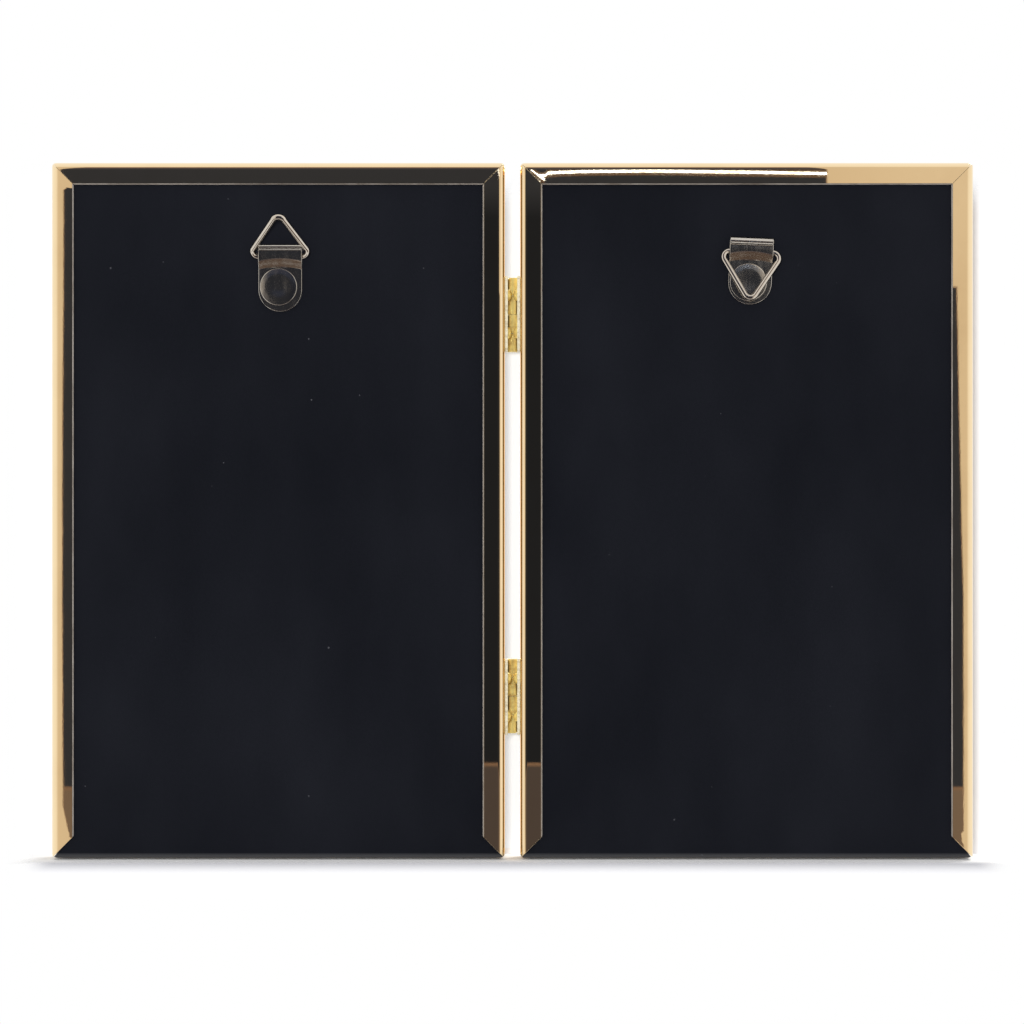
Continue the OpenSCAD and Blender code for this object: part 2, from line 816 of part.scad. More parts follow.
right_rail_top();
right_rail_outer();
right_rail_inner();
right_rail_bottom();
right_corner_keys();
right_glass();
right_photo_insert();
right_spacer_card();
right_back_board();
right_back_velvet();
right_back_lining();
right_hanger_strap();
right_hanger_rivet();
right_hanger_washer();
right_hanger_ring();
right_hinge_leaf_upper();
right_hinge_leaf_lower();
right_hinge_rivets();
left_rail_top();
left_rail_outer();
left_rail_inner();
left_rail_bottom();
left_corner_keys();
left_glass();
left_photo_insert();
left_spacer_card();
left_back_board();
left_back_velvet();
left_back_lining();
left_hanger_strap();
left_hanger_rivet();
left_hanger_washer();
left_hanger_ring();
left_hinge_leaf_upper();
left_hinge_leaf_lower();
left_hinge_rivets();
hinge_pin_upper();
hinge_pin_lower();
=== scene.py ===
import math

import bmesh
import bpy
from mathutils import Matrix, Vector


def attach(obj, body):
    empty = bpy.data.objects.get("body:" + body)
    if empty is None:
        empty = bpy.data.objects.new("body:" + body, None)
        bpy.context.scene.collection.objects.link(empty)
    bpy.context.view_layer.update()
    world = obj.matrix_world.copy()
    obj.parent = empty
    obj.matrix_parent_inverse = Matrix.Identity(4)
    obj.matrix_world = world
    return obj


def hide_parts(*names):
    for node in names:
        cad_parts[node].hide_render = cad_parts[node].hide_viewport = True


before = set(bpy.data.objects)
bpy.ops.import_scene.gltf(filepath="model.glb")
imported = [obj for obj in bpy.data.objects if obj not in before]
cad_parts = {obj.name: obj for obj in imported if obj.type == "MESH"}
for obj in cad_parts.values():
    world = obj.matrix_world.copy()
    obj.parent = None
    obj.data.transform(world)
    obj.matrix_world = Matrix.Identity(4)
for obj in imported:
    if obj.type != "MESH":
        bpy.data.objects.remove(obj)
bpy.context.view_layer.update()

MM = 0.001
RIGHT = 1
LEFT = -1
SIDE_NAME = {RIGHT: "right", LEFT: "left"}

# Sizes in millimetres. One panel is drawn from its hinge side outwards: u across, v back from its
# front, z up. Names end in _W, _H, _D, _L, _T and _R for width, height, depth, length, thickness and
# radius, in _V for how far behind the front a piece starts, and in _S for a place along the strap.
PANEL_W = 107.5
PANEL_H = 165.0
HALF_GAP = 1.8
MIDDLE_V = 8.646395
SHEET = 0.8
FOLD_R = 1.35
REAR_FOLD_R = 1.75
FACE_W = 8.4
LIP_R = 1.0
LIP_D = 1.5
RAIL_D = 11.4
BOTTOM_WALL_D = 5.7
FLANGE_W = 5.3
FLANGE_BEVEL = 0.3
CORNER_R = 1.2
MITRE = 0.06 / math.sqrt(2)
FLANGE_TWIST, TWIST_END = 0.06, 6.6
KEY_LEG = 12.0
KEY_T = 0.8
KEY_W = 3.8
KEY_BEND_R = 0.5
PANE_INSET = 1.9
GLASS_V, GLASS_T = 1.6, 2.0
INSERT_V, INSERT_T = 3.6, 0.3
CARD_V, CARD_T = 3.9, 1.8
WASHER_V, WASHER_T = 5.9, 0.5
BACK_V, LINING_T = 6.4, 0.4
BOARD_T = 3.0
VELVET_T = 0.5
VELVET_V = 10.3
BACK_INSET = 1.4
SHOULDER_GAP = 0.3 * math.sqrt(2)
PILE_GAP = 0.06
TURN_INSET = BACK_INSET + 8.0
FRONT_R = 0.45
FOOT_R, FOOT_H = 1.3, 3.0
PRINT_W, PRINT_H = 101.6, 152.4
PRINT_U, PRINT_Z = 2.95, 6.3
SHEET_ROOM = 0.01
STRAP_W = 10.3
STRAP_T = 0.5
STRAP_GAP = 0.04
STRAP_FLAT = 3.65
STRAP_BEND_R = 0.8
STRAP_SLOPE = math.radians(50.0)
STRAP_TAIL = 0.1
STRAP_SAG, STRAP_BOW = 0.09, 0.6
STRAP_RAMP_L, STRAP_RAMP_IN = 2.3, 0.12
# the ridge of each strap's fold: how far in it lies, the length and depth of the steep fall behind
# it, and how straight the rise before it is
STRAP_RIDGE = {RIGHT: (0.72, 0.34, 0.26, 0.15), LEFT: (1.16, 0.44, 0.37, 0.35)}
LOOP_H = 1.5
LOOP_R = LOOP_H / 2 + STRAP_T
STRAP_DROP = LOOP_H - STRAP_GAP
SLOPE_SIN, SLOPE_COS = math.sin(STRAP_SLOPE), math.cos(STRAP_SLOPE)
STRAP_DROP_L = (STRAP_DROP - 2 * STRAP_BEND_R * (1 - SLOPE_COS)) / SLOPE_SIN
STRAP_RUN = 2 * STRAP_BEND_R * SLOPE_SIN + STRAP_DROP_L * SLOPE_COS
RIVET_HEAD_R = 4.4
RIVET_EDGE_H = 0.49
RIVET_RIM_H = {RIGHT: 0.65, LEFT: 0.56}
RIVET_FLOOR_H = {RIGHT: 0.45, LEFT: 0.48}
RIVET_EDGE_R = 0.2
RIVET_RIM_R = 3.0
RIVET_SHIFT = 0.4
RIVET_ROOM = {RIGHT: 0.1, LEFT: 0.7}
RIVET_SHANK_R = 1.6
RIVET_S = STRAP_FLAT + STRAP_RUN + RIVET_HEAD_R
STRAP_END_S = RIVET_S + max(RIVET_ROOM.values()) + STRAP_TAIL
STRAP_TOP_H = 2 * STRAP_T + STRAP_GAP
WASHER_R = 3.5
WASHER_EDGE_R = 0.08
WIRE_R = 0.65
RING_HALF_W = 7.2 - WIRE_R
RING_TIP = 12.0 - WIRE_R
RING_CORNER_R = 1.5
RING_TIP_R = 1.5
RING_JOINT = 0.3
RING_BAR_Y = STRAP_T + LOOP_H / 2
# where a strap's fold lies and how it leans, and how deep its ring's bar sits in it and is turned
HANGER = {
    RIGHT: {"u": PANEL_W / 2 - 0.5, "z": PANEL_H - 19.4, "lean": 0.0, "seat": 3.0, "ring": 141.0},
    LEFT: {"u": PANEL_W / 2 + 1.2, "z": PANEL_H - 17.7, "lean": 2.5, "seat": 3.5, "ring": 14.0},
}
HINGE_L = 17.8
HINGE_FROM_TOP, HINGE_FROM_FOOT = 35.6, 38.0
HINGE_BASE = {"upper": PANEL_H - HINGE_FROM_TOP - HINGE_L / 2, "lower": HINGE_FROM_FOOT - HINGE_L / 2}
PIN_PROUD = 0.25
PIN_R = 1.05
PIN_EDGE = 0.2
BORE_R = 1.1
LEAF_T = 0.7
LEAF_W = 8.6
LEAF_CORNER_R = 1.0
LEAF_CURL = 298
BARREL_R = 1.8
KNUCKLES = 4
KNUCKLE_GAP = 0.12
NOTCH_GAP = 0.2
NOTCH_Y = math.sqrt((BARREL_R + NOTCH_GAP) ** 2 - BORE_R**2)
LEAF_RIVET_PITCH = 9.0
LEAF_RIVET_BACK = 5.2
LEAF_RIVET_HEAD_R, LEAF_RIVET_HEAD_H = 1.375, 0.9
LEAF_RIVET_R = 0.75
LEAF_RIVET_END_H = 0.3


def noted(obj, body, nodes, slot, *materials):
    """Hangs a finished piece on its body, in place of its nodes, with its materials."""
    for m in materials:
        obj.data.materials.append(m)
    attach(obj, body)
    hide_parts(*nodes)
    return obj


def solid(name, bm, bevel=0.0, segments=2, sharp=30.0, clamp=True):
    """Makes an object of bm, which is in millimetres, with sharp edges kept and the rest smooth."""
    bmesh.ops.remove_doubles(bm, verts=bm.verts, dist=1e-5)
    bmesh.ops.recalc_face_normals(bm, faces=bm.faces)
    limit = math.radians(sharp)
    for e in bm.edges:
        e.smooth = not (len(e.link_faces) == 2 and e.calc_face_angle(0) > limit)
    for f in bm.faces:
        f.smooth = True
    bmesh.ops.scale(bm, vec=(MM, MM, MM), verts=bm.verts)
    mesh = bpy.data.meshes.new(name)
    bm.to_mesh(mesh)
    bm.free()
    obj = bpy.data.objects.new(name, mesh)
    bpy.context.scene.collection.objects.link(obj)
    if bevel > 0:
        mod = obj.modifiers.new("soft edges", "BEVEL")
        mod.width = bevel * MM
        mod.segments = segments
        mod.limit_method = "ANGLE"
        mod.angle_limit = limit
        mod.use_clamp_overlap = clamp
    # keeps the shading of large flats flat
    even = obj.modifiers.new("flat shading", "WEIGHTED_NORMAL")
    even.keep_sharp = True
    even.weight = 50
    return obj


def walls(bm, a, b):
    """Faces between two closed rings of points, one after the other."""
    n = len(a)
    return [bm.faces.new((a[i], a[(i + 1) % n], b[(i + 1) % n], b[i])) for i in range(n)]


def prism(bm, near, far):
    """A closed body between two like rings."""
    bm.faces.new(near)
    bm.faces.new(far[::-1])
    walls(bm, far, near)


def clamped(t):
    return min(1.0, max(0.0, t))


def smooth(t):
    t = clamped(t)
    return t * t * (3 - 2 * t)


def in_panel(side, u, v, z):
    """A point of one panel in the frame of the whole pair, in millimetres."""
    return Vector((side * (HALF_GAP + u), v - MIDDLE_V, z))


def directions(a):
    """Unit vectors ahead and to the left of a heading in radians."""
    return Vector((math.cos(a), math.sin(a))), Vector((-math.sin(a), math.cos(a)))


def folded_path(steps, start, heading, arc=7.5):
    """Stations (point, heading) along a folded strip. A step is (length, 0) or (radius, turn)."""
    p = Vector(start)
    a = math.radians(heading)
    out = [(p.copy(), a)]
    for size, turn in steps:
        ahead, left = directions(a)
        if turn == 0:
            p = p + size * ahead
            out.append((p.copy(), a))
            continue
        way = math.copysign(size, turn)
        c = p + way * left
        n = max(2, math.ceil(abs(turn) / arc))
        a0 = a
        for j in range(1, n + 1):
            a = a0 + math.radians(turn) * j / n
            p = c - way * directions(a)[1]
            out.append((p.copy(), a))
    return out


def offset(stations, off):
    """Points beside a path, off to its left."""
    return [p + off * directions(a)[1] for p, a in stations]


def closed_section(stations, t, far_bevel, near_round):
    """Outline of a folded strip of thickness t, its far outer corner and near corners bevelled."""
    loop = offset(stations, t / 2)
    ahead, left = directions(stations[-1][1])
    tip = loop.pop()
    loop += [tip - far_bevel * ahead, tip - far_bevel * left] + offset(stations, -t / 2)[::-1]
    ahead, left = directions(stations[0][1])
    a, b = loop.pop(0), loop.pop()
    loop.insert(0, a + near_round * ahead)
    return loop + [b + near_round * ahead, b + near_round * left, a - near_round * left]


def rail(name, side, where, section, twists=(0.0, 0.0)):
    """A mitred rail of one panel: its section (u, v) is run along the side that where names.

    twists says how far the flange's free edge springs out at the start and at the end.
    """
    length = PANEL_W if where in ("top", "bottom") else PANEL_H
    place = {
        "inner": lambda u, v, s: (u, v, s),
        "outer": lambda u, v, s: (PANEL_W - u, v, s),
        "top": lambda u, v, s: (s, v, PANEL_H - u),
        "bottom": lambda u, v, s: (s, v, u),
    }[where]
    bm = bmesh.new()
    rings = []
    for at_start, twist in zip((True, False), twists):
        ends = []
        # round the panel's corner, then on along the rail, closely where the flange may twist
        for phi in (45, 38, 30, 15, 0):
            cos, sin = math.cos(math.radians(phi)), math.sin(math.radians(phi))
            least, on = CORNER_R * (1 - cos), max(CORNER_R * (cos - sin), MITRE)
            ends.append([(max(p.x, least), p.y, max(p.x, least) + on) for p in section])
        for s in (5.5, 5.85, 6.2, TWIST_END, 20.0):
            ends.append([(p.x, p.y, max(s, p.x + CORNER_R + 0.02 * s)) for p in section])
        for ring in ends if at_start else ends[::-1]:
            rings.append([])
            for u, v, s in ring:
                if v > VELVET_V and twist:
                    v += twist * u / FLANGE_W * smooth(TWIST_END - s)
                rings[-1].append(place(u, v, s if at_start else length - s))
    grid = [[bm.verts.new(in_panel(side, *q)) for q in ring] for ring in rings]
    cut = []
    for p, q in zip(section, section[1:] + section[:1]):
        flange_edge = min(p.x, q.x) > FLANGE_W - FLANGE_BEVEL - 0.01
        wall_edge = max(p.y, q.y) < BOTTOM_WALL_D + 0.01
        cut.append(min(p.y, q.y) > BOTTOM_WALL_D - 0.5 and (flange_edge or wall_edge))
    for a, b in zip(grid, grid[1:]):
        for f, is_cut in zip(walls(bm, a, b), cut):
            f.material_index = int(is_cut)
    bm.faces.new(grid[0])
    bm.faces.new(grid[-1][::-1])
    return solid(name, bm, bevel=0.04)


RAIL_STEPS = [
    (LIP_D - LIP_R, 0),
    (LIP_R - SHEET / 2, -90),
    (FACE_W - LIP_R - FOLD_R, 0),
    (FOLD_R - SHEET / 2, -90),
    (RAIL_D - FOLD_R - REAR_FOLD_R, 0),
    (REAR_FOLD_R - SHEET / 2, -90),
    (FLANGE_W - REAR_FOLD_R, 0),
]
BOTTOM_STEPS = RAIL_STEPS[:4] + [(BOTTOM_WALL_D - FOLD_R, 0)]


def slab(name, side, u0, u1, v0, v1, z0, z1, bevel):
    """A flat sheet with softened edges."""
    bm = bmesh.new()
    around = ((u0, z0), (u1, z0), (u1, z1), (u0, z1))
    prism(bm, *[[bm.verts.new(in_panel(side, u, v, z)) for u, z in around] for v in (v0, v1)])
    return solid(name, bm, bevel=bevel)


def corner_key(name, side):
    """The four angle strips that join the rails behind the picture side."""
    bm = bmesh.new()
    a, b, c = SHEET, SHEET + KEY_T, SHEET + KEY_LEG
    r = KEY_BEND_R
    outline = [(a + r, a), (c, a), (c, b), (b + r, b)]
    outline += [(b + r - r * math.sin(math.radians(t)), b + r - r * math.cos(math.radians(t))) for t in (30, 60)]
    outline += [(b, b + r), (b, c), (a, c), (a, a + r), (a + r * 0.3, a + r * 0.3)]
    for flip_u in (False, True):
        for flip_z in (False, True):
            here = [(PANEL_W - u if flip_u else u, PANEL_H - z if flip_z else z) for u, z in outline]
            depths = (BOTTOM_WALL_D - KEY_W, BOTTOM_WALL_D)
            prism(bm, *[[bm.verts.new(in_panel(side, u, v, z)) for u, z in here] for v in depths])
    return solid(name, bm, bevel=0.08)


def back_outline(skin, gap=SHOULDER_GAP, arc=6):
    """Outline (u, z) of the sliding back, standing in by a skin."""
    side = BACK_INSET + skin
    shoulder = side - gap - skin * math.sqrt(2)
    foot = max(side - shoulder, skin)
    pts = []
    # foot corner on the hinge side, from the bottom edge round to the slope
    middle = skin + CORNER_R
    for k in range(arc + 1):
        a = math.radians(270 - 90 * k / arc)
        u, z = middle + CORNER_R * math.cos(a), middle + CORNER_R * math.sin(a)
        if z <= u - foot + 1e-9 or not pts:
            pts.append((u, z))
    pts += [(side, shoulder), (side, PANEL_H - side)]
    return pts + [(PANEL_W - u, z) for u, z in reversed(pts)]


def loop_normals(loop):
    """Outward unit normals of a closed outline that runs clockwise in (u, z)."""
    out = []
    for before, here, after in zip(loop[-1:] + loop[:-1], loop, loop[1:] + loop[:1]):
        a, b, c = Vector(before), Vector(here), Vector(after)
        d1, d2 = (b - a).normalized(), (c - b).normalized()
        n1, n2 = Vector((-d1.y, d1.x)), Vector((-d2.y, d2.x))
        out.append((n1 + n2) / max((n1 + n2).dot(n1), 0.3))
    return out


def velvet(name, side):
    """Velvet over the board: rounded rear edge, softer at its foot, and a border turned in."""
    # the pile all but fills the shoulder's clearance
    loop = back_outline(0, gap=PILE_GAP, arc=20)
    normals = loop_normals(loop)
    # how far each ring stands in, its depth, and how far and deep it does so at the foot
    rings = []
    for k in range(5):
        a = math.radians(90 * k / 4)
        rings.append((FRONT_R * (1 - math.sin(a)), BACK_V + FRONT_R * (1 - math.cos(a)), None, None))
    for k in range(9):
        a = math.radians(90 * k / 8)
        soft, foot = VELVET_T * (1 - math.cos(a)), FOOT_R * (1 - math.cos(a))
        rings.append((soft, VELVET_V - VELVET_T * (1 - math.sin(a)), foot, VELVET_V - FOOT_R * (1 - math.sin(a))))
    bm = bmesh.new()
    grid = []
    for soft, v, foot, foot_v in rings:
        row = []
        for (u, z), m in zip(loop, normals):
            if foot is not None and z < FOOT_H:
                # the foot and its corners draw in together, toward a point inside each corner
                inner = PANEL_W - FOOT_H if u > PANEL_W / 2 else FOOT_H
                q = (u + (inner - u) * foot / FOOT_H, foot_v, z + (FOOT_H - z) * foot / FOOT_H)
            else:
                q = (u - m.x * soft, v, z - m.y * soft)
            row.append(bm.verts.new(in_panel(side, *q)))
        grid.append(row)
    for a, b in zip(grid, grid[1:]):
        walls(bm, a, b)
    bm.faces.new(grid[-1])
    low, high_u, high_z = TURN_INSET, PANEL_W - TURN_INSET, PANEL_H - TURN_INSET
    window = [(low, low), (high_u, low), (high_u, high_z), (low, high_z)]
    near = [bm.verts.new(in_panel(side, u, BACK_V, z)) for u, z in window]
    deep = [bm.verts.new(in_panel(side, u, BACK_V + LINING_T, z)) for u, z in window]
    walls(bm, deep, near)
    bm.faces.new(deep)
    edges = [bm.edges.get(pair) for ring in (grid[0], near) for pair in zip(ring, ring[1:] + ring[:1])]
    bmesh.ops.triangle_fill(bm, use_beauty=True, edges=edges)
    return solid(name, bm, sharp=50)


def board(name, side):
    """The stiff board inside the velvet."""
    front = BACK_V + LINING_T
    bm = bmesh.new()
    loop = back_outline(VELVET_T)
    prism(bm, *[[bm.verts.new(in_panel(side, u, v, z)) for u, z in loop] for v in (front, front + BOARD_T)])
    return solid(name, bm, bevel=0.1)


def lathe(bm, profile, place, steps=48):
    """A turned piece. profile is (radius, height) from the axis out and back to it."""
    turns = [2 * math.pi * k / steps for k in range(steps)]
    rows = []
    for r, h in profile:
        points = [(r * math.cos(a), r * math.sin(a)) for a in turns] if r > 0 else [(0, 0)]
        rows.append([bm.verts.new(place(x, y, h)) for x, y in points])
    for a, b in zip(rows, rows[1:]):
        if len(a) == len(b):
            walls(bm, a, b)
            continue
        for k in range(steps):
            j = (k + 1) % steps
            bm.faces.new((a[0], b[k], b[j]) if len(a) == 1 else (a[k], a[j], b[0]))


def at_hanger(side, x, y, z):
    """A point of a hanger, whose strap's fold is at the origin and the velvet at y = 0."""
    h = HANGER[side]
    cos, sin = math.cos(math.radians(h["lean"])), math.sin(math.radians(h["lean"]))
    return in_panel(side, h["u"] + x * cos + z * sin, VELVET_V + y, h["z"] - x * sin + z * cos)


def at_rivet(side, x, y, h):
    """A point about the axis of a hanger's rivet, h out from the velvet."""
    return at_hanger(side, side * RIVET_SHIFT + x, h, -RIVET_S - RIVET_ROOM[side] + y)


def strap(name, side):
    """Strap of sheet folded over the ring's bar and drawn down onto itself round its rivet."""
    low, high = STRAP_T / 2, 2 * LOOP_R - STRAP_T / 2
    bottom = low + STRAP_T + STRAP_GAP
    # the upper layer's ramp from the flat of the fold down onto the lower layer
    foot = STRAP_FLAT + STRAP_RUN - STRAP_RAMP_IN
    start = foot - STRAP_RAMP_L
    flat = high - STRAP_SAG
    ridge, fall, drop, lean = STRAP_RIDGE[side]
    top = flat + drop

    def upper(x):
        """Height of the middle of the upper layer at x below the fold's top."""
        # short bends at both ends of a straight ramp
        t = clamped((x - start) / (foot - start))
        ramp = 0.6 * t + 0.4 * smooth(t)
        f = clamped((x - ridge - 0.03) / fall)
        return flat - (flat - bottom) * ramp + drop * (1 - 0.85 * f - 0.15 * smooth(f))

    # the round end is drawn as a half disc, with stations that stay square at its tip
    tips = [0.2, 0.4, 0.6, 0.8, 1.0]
    line = [(STRAP_END_S, low, t) for t in reversed(tips)]
    line += [(x, low, 0.0) for x in (STRAP_END_S, STRAP_END_S - 1.5, 5.0, 2.5)]
    half = low + (top - low) / 2
    for k in range(9):
        a = math.radians(90 * k / 9)
        line.append((LOOP_R - (LOOP_R - STRAP_T / 2) * math.sin(a), half - (half - low) * math.cos(a), 0.0))
    for k in range(10):
        t = 1 - math.cos(math.radians(90 * k / 9))
        rise = (1 - lean) * math.sqrt(1 - (1 - t) ** 2) + lean * t
        line.append((STRAP_T / 2 + (ridge - STRAP_T / 2) * t, half + (top - half) * rise, 0.0))
    xs = [ridge + 0.03 + fall * k / 6 for k in range(7)] + [ridge + fall + 0.15, ridge + fall + 0.6, 2.7]
    xs += [start + (foot - start) * k / 16 for k in range(17)] + [foot + 0.5, STRAP_END_S - 1.5, STRAP_END_S]
    line += [(x, upper(x), 0.0) for x in xs]
    line += [(STRAP_END_S, bottom, t) for t in tips]
    across = [-1, -0.93, -0.84, -0.7, -0.5, -0.25, 0, 0.25, 0.5, 0.7, 0.84, 0.93, 1]
    r = STRAP_W / 2
    n = len(line)
    middle = [Vector((x + r * t, y)) for x, y, t in line]
    bm = bmesh.new()
    under, over = [], []
    for k, (x, y, tip) in enumerate(line):
        d = (middle[min(k + 1, n - 1)] - middle[max(k - 1, 0)]).normalized()
        out = Vector((-d.y, d.x)) * STRAP_T / 2
        for rows, sign in ((under, -1), (over, 1)):
            px, py = x + sign * out.x, y + sign * out.y
            row = []
            for t in across:
                sx = t * r * math.sqrt(1 - tip * tip / 2)
                down = px + tip * r * math.sqrt(1 - t * t / 2)
                if y > bottom + 0.02 and x > start - 0.4 and tip == 0:
                    # the ramp of the upper layer bows round the rivet's head
                    down += STRAP_BOW * t * t * smooth((x - start + 0.4) / 0.6) * smooth((foot + 0.5 - x) / 0.6)
                row.append(bm.verts.new(at_hanger(side, sx, py, -down)))
            rows.append(row)
    for rows in (under, over):
        for a, b in zip(rows, rows[1:]):
            for k in range(len(across) - 1):
                bm.faces.new((a[k], a[k + 1], b[k + 1], b[k]))
    for row in range(n - 1):
        for k in (0, -1):
            bm.faces.new((under[row][k], under[row + 1][k], over[row + 1][k], over[row][k]))
    for row in (0, -1):
        for k in range(len(across) - 1):
            bm.faces.new((under[row][k], under[row][k + 1], over[row][k + 1], over[row][k]))
    return solid(name, bm, bevel=0.13, segments=3, clamp=False)


def hanger_rivet(name, side):
    """Rivet with a wide dished head, and its shank through the back."""
    shank = STRAP_TOP_H + VELVET_V - WASHER_V
    e = RIVET_EDGE_R
    profile = [(0, -shank), (RIVET_SHANK_R - 0.2, -shank), (RIVET_SHANK_R, -shank + 0.2), (RIVET_SHANK_R, 0)]
    profile += [(RIVET_HEAD_R - 0.1, 0), (RIVET_HEAD_R, 0.1)]
    turn = [math.radians(90 * k / 6) for k in range(7)]
    edge = RIVET_EDGE_H - e
    profile += [(RIVET_HEAD_R - e + e * math.cos(a), edge + e * math.sin(a)) for a in turn]
    # a broad rim that falls away outward, and a shallow bowl inside it
    rim_r, rim_h, floor_h = RIVET_RIM_R, RIVET_RIM_H[side], RIVET_FLOOR_H[side]
    for k in range(1, 9):
        r = RIVET_HEAD_R - e - (RIVET_HEAD_R - e - rim_r) * k / 8
        profile.append((r, rim_h - (rim_h - RIVET_EDGE_H) * ((r - rim_r) / (RIVET_HEAD_R - e - rim_r)) ** 1.2))
    profile += [(rim_r * (1 - k / 8), rim_h - (rim_h - floor_h) * smooth(k / 7) * 0.9) for k in range(1, 9)]
    bm = bmesh.new()
    lathe(bm, profile, lambda a, b, h: at_rivet(side, a, b, STRAP_TOP_H + h), steps=72)
    return solid(name, bm, sharp=40)


def hanger_washer(name, side):
    """Steel washer round the rivet's shank, on the inner side of the board."""
    r0, r1, t, e = RIVET_SHANK_R + 0.05, WASHER_R, WASHER_T, WASHER_EDGE_R
    profile = [(r0, 0), (r1 - e, 0), (r1, e), (r1, t - e), (r1 - e, t), (r0, t), (r0, 0)]
    bm = bmesh.new()
    lathe(bm, profile, lambda a, b, h: at_rivet(side, a, b, WASHER_V - VELVET_V + h))
    return solid(name, bm, sharp=40)


def ring_centreline():
    """Points of the wire's middle, from one end in the strap round the triangle to the other."""
    bar = RING_HALF_W - RING_CORNER_R
    rise = RING_TIP - RING_TIP_R - RING_CORNER_R
    side = math.acos((RING_TIP_R - RING_CORNER_R) / math.hypot(bar, rise)) - math.atan2(rise, bar)
    half = [(RING_JOINT / 2, 0.0), (bar * 0.5, 0.0)]
    for k in range(11):
        a = math.pi / 2 - (math.pi / 2 + side) * k / 10
        half.append((bar + RING_CORNER_R * math.cos(a), -RING_CORNER_R + RING_CORNER_R * math.sin(a)))
    for k in range(8):
        a = -side - (math.pi / 2 - side) * k / 8
        half.append((RING_TIP_R * math.cos(a), RING_TIP_R - RING_TIP + RING_TIP_R * math.sin(a)))
    return half + [(0.0, -RING_TIP)] + [(-x, z) for x, z in reversed(half)]


def ring(name, side):
    """Triangular ring of round wire whose ends meet inside the strap."""
    line = ring_centreline()
    swing = math.radians(HANGER[side]["ring"])
    cos, sin = math.cos(swing), math.sin(swing)
    around = 20
    bm = bmesh.new()
    rows = []
    for (ax, az), (x, z), (bx, bz) in zip(line[:1] + line, line, line[1:] + line[-1:]):
        t = Vector((bx - ax, bz - az)).normalized()
        row = []
        for k in range(around):
            a = 2 * math.pi * k / around
            px, pz = x - WIRE_R * math.cos(a) * t.y, z + WIRE_R * math.cos(a) * t.x
            py = WIRE_R * math.sin(a)
            y, up = py * cos - pz * sin, py * sin + pz * cos
            row.append(bm.verts.new(at_hanger(side, px, RING_BAR_Y + y, up - HANGER[side]["seat"])))
        rows.append(row)
    for a, b in zip(rows, rows[1:]):
        walls(bm, a, b)
    bm.faces.new(rows[0])
    bm.faces.new(rows[-1][::-1])
    return solid(name, bm, bevel=0.06, sharp=50)


def at_hinge(side, x, y, z):
    """A point of a hinge, whose pin is at x = y = 0, with the leaf of this side at x > 0."""
    return Vector((side * x, y - PIN_PROUD - MIDDLE_V, z))


def hinge_leaf(name, side, base, first):
    """A leaf flat on the frame's wall, with knuckles curled from the same sheet."""
    mid = BORE_R + LEAF_T / 2
    stations = folded_path([(LEAF_CORNER_R / 4, 0)] * 4, (mid, LEAF_W), 270)
    corner_end = len(stations)
    down = math.radians(270)
    stations += [(Vector((mid, y)), down) for y in (LEAF_W - LEAF_CORNER_R - 1.0, LEAF_RIVET_BACK, NOTCH_Y, 0.0)]
    notch_at = len(stations) - 2
    stations += folded_path([(mid, -LEAF_CURL)], (mid, 0.0), 270, arc=12)[1:]
    pitch = HINGE_L / KNUCKLES
    knuckles = []
    for i in range(first, KNUCKLES, 2):
        low = HINGE_L - (i + 1) * pitch
        lo = low + (0 if i == KNUCKLES - 1 else KNUCKLE_GAP / 2)
        hi = low + pitch - (0 if i == 0 else KNUCKLE_GAP / 2)
        knuckles.append((lo, hi))
    zs = {0.0, HINGE_L}
    for lo, hi in knuckles:
        zs |= {round(lo, 6), round(hi, 6)}
    for k in (0.25, 0.5, 0.75, 1.0):
        zs |= {LEAF_CORNER_R * k, HINGE_L - LEAF_CORNER_R * k}
    zs = sorted(zs)
    bm = bmesh.new()
    outer, inner = [], []
    r = LEAF_CORNER_R
    for idx, (p, a) in enumerate(stations):
        outer.append([])
        inner.append([])
        left = LEAF_T / 2 * directions(a)[1]
        for z in zs:
            edge = min(z, HINGE_L - z)
            q, up = p.copy(), z
            if idx < corner_end and edge <= r:
                # the corner is drawn as a quarter disc
                a1, b1 = 1 - (LEAF_W - p.y) / r, 1 - edge / r
                q.y = LEAF_W - r + r * a1 * math.sqrt(1 - b1 * b1 / 2)
                edge = r - r * b1 * math.sqrt(1 - a1 * a1 / 2)
                up = edge if z <= r else HINGE_L - edge
            outer[-1].append(bm.verts.new(at_hinge(side, q.x + left.x, q.y + left.y, base + up)))
            inner[-1].append(bm.verts.new(at_hinge(side, q.x - left.x, q.y - left.y, base + up)))

    def has(i, k):
        """Whether the sheet covers the field between stations i and i + 1 and heights k and k + 1."""
        if not (0 <= i < len(stations) - 1 and 0 <= k < len(zs) - 1):
            return False
        return i < notch_at or any(lo <= (zs[k] + zs[k + 1]) / 2 <= hi for lo, hi in knuckles)

    for i in range(len(stations) - 1):
        for k in range(len(zs) - 1):
            if not has(i, k):
                continue
            corners = [(i, k), (i, k + 1), (i + 1, k + 1), (i + 1, k)]
            bm.faces.new([outer[a][b] for a, b in corners])
            bm.faces.new([inner[a][b] for a, b in reversed(corners)])
            beyond = [(i - 1, k), (i, k + 1), (i + 1, k), (i, k - 1)]
            for field, (a, b), (c, d) in zip(beyond, corners, corners[1:] + corners[:1]):
                if not has(*field):
                    bm.faces.new((outer[a][b], inner[a][b], inner[c][d], outer[c][d])).material_index = 1
    bmesh.ops.delete(bm, geom=[v for v in bm.verts if not v.link_faces], context="VERTS")
    return solid(name, bm, bevel=0.09, sharp=40)


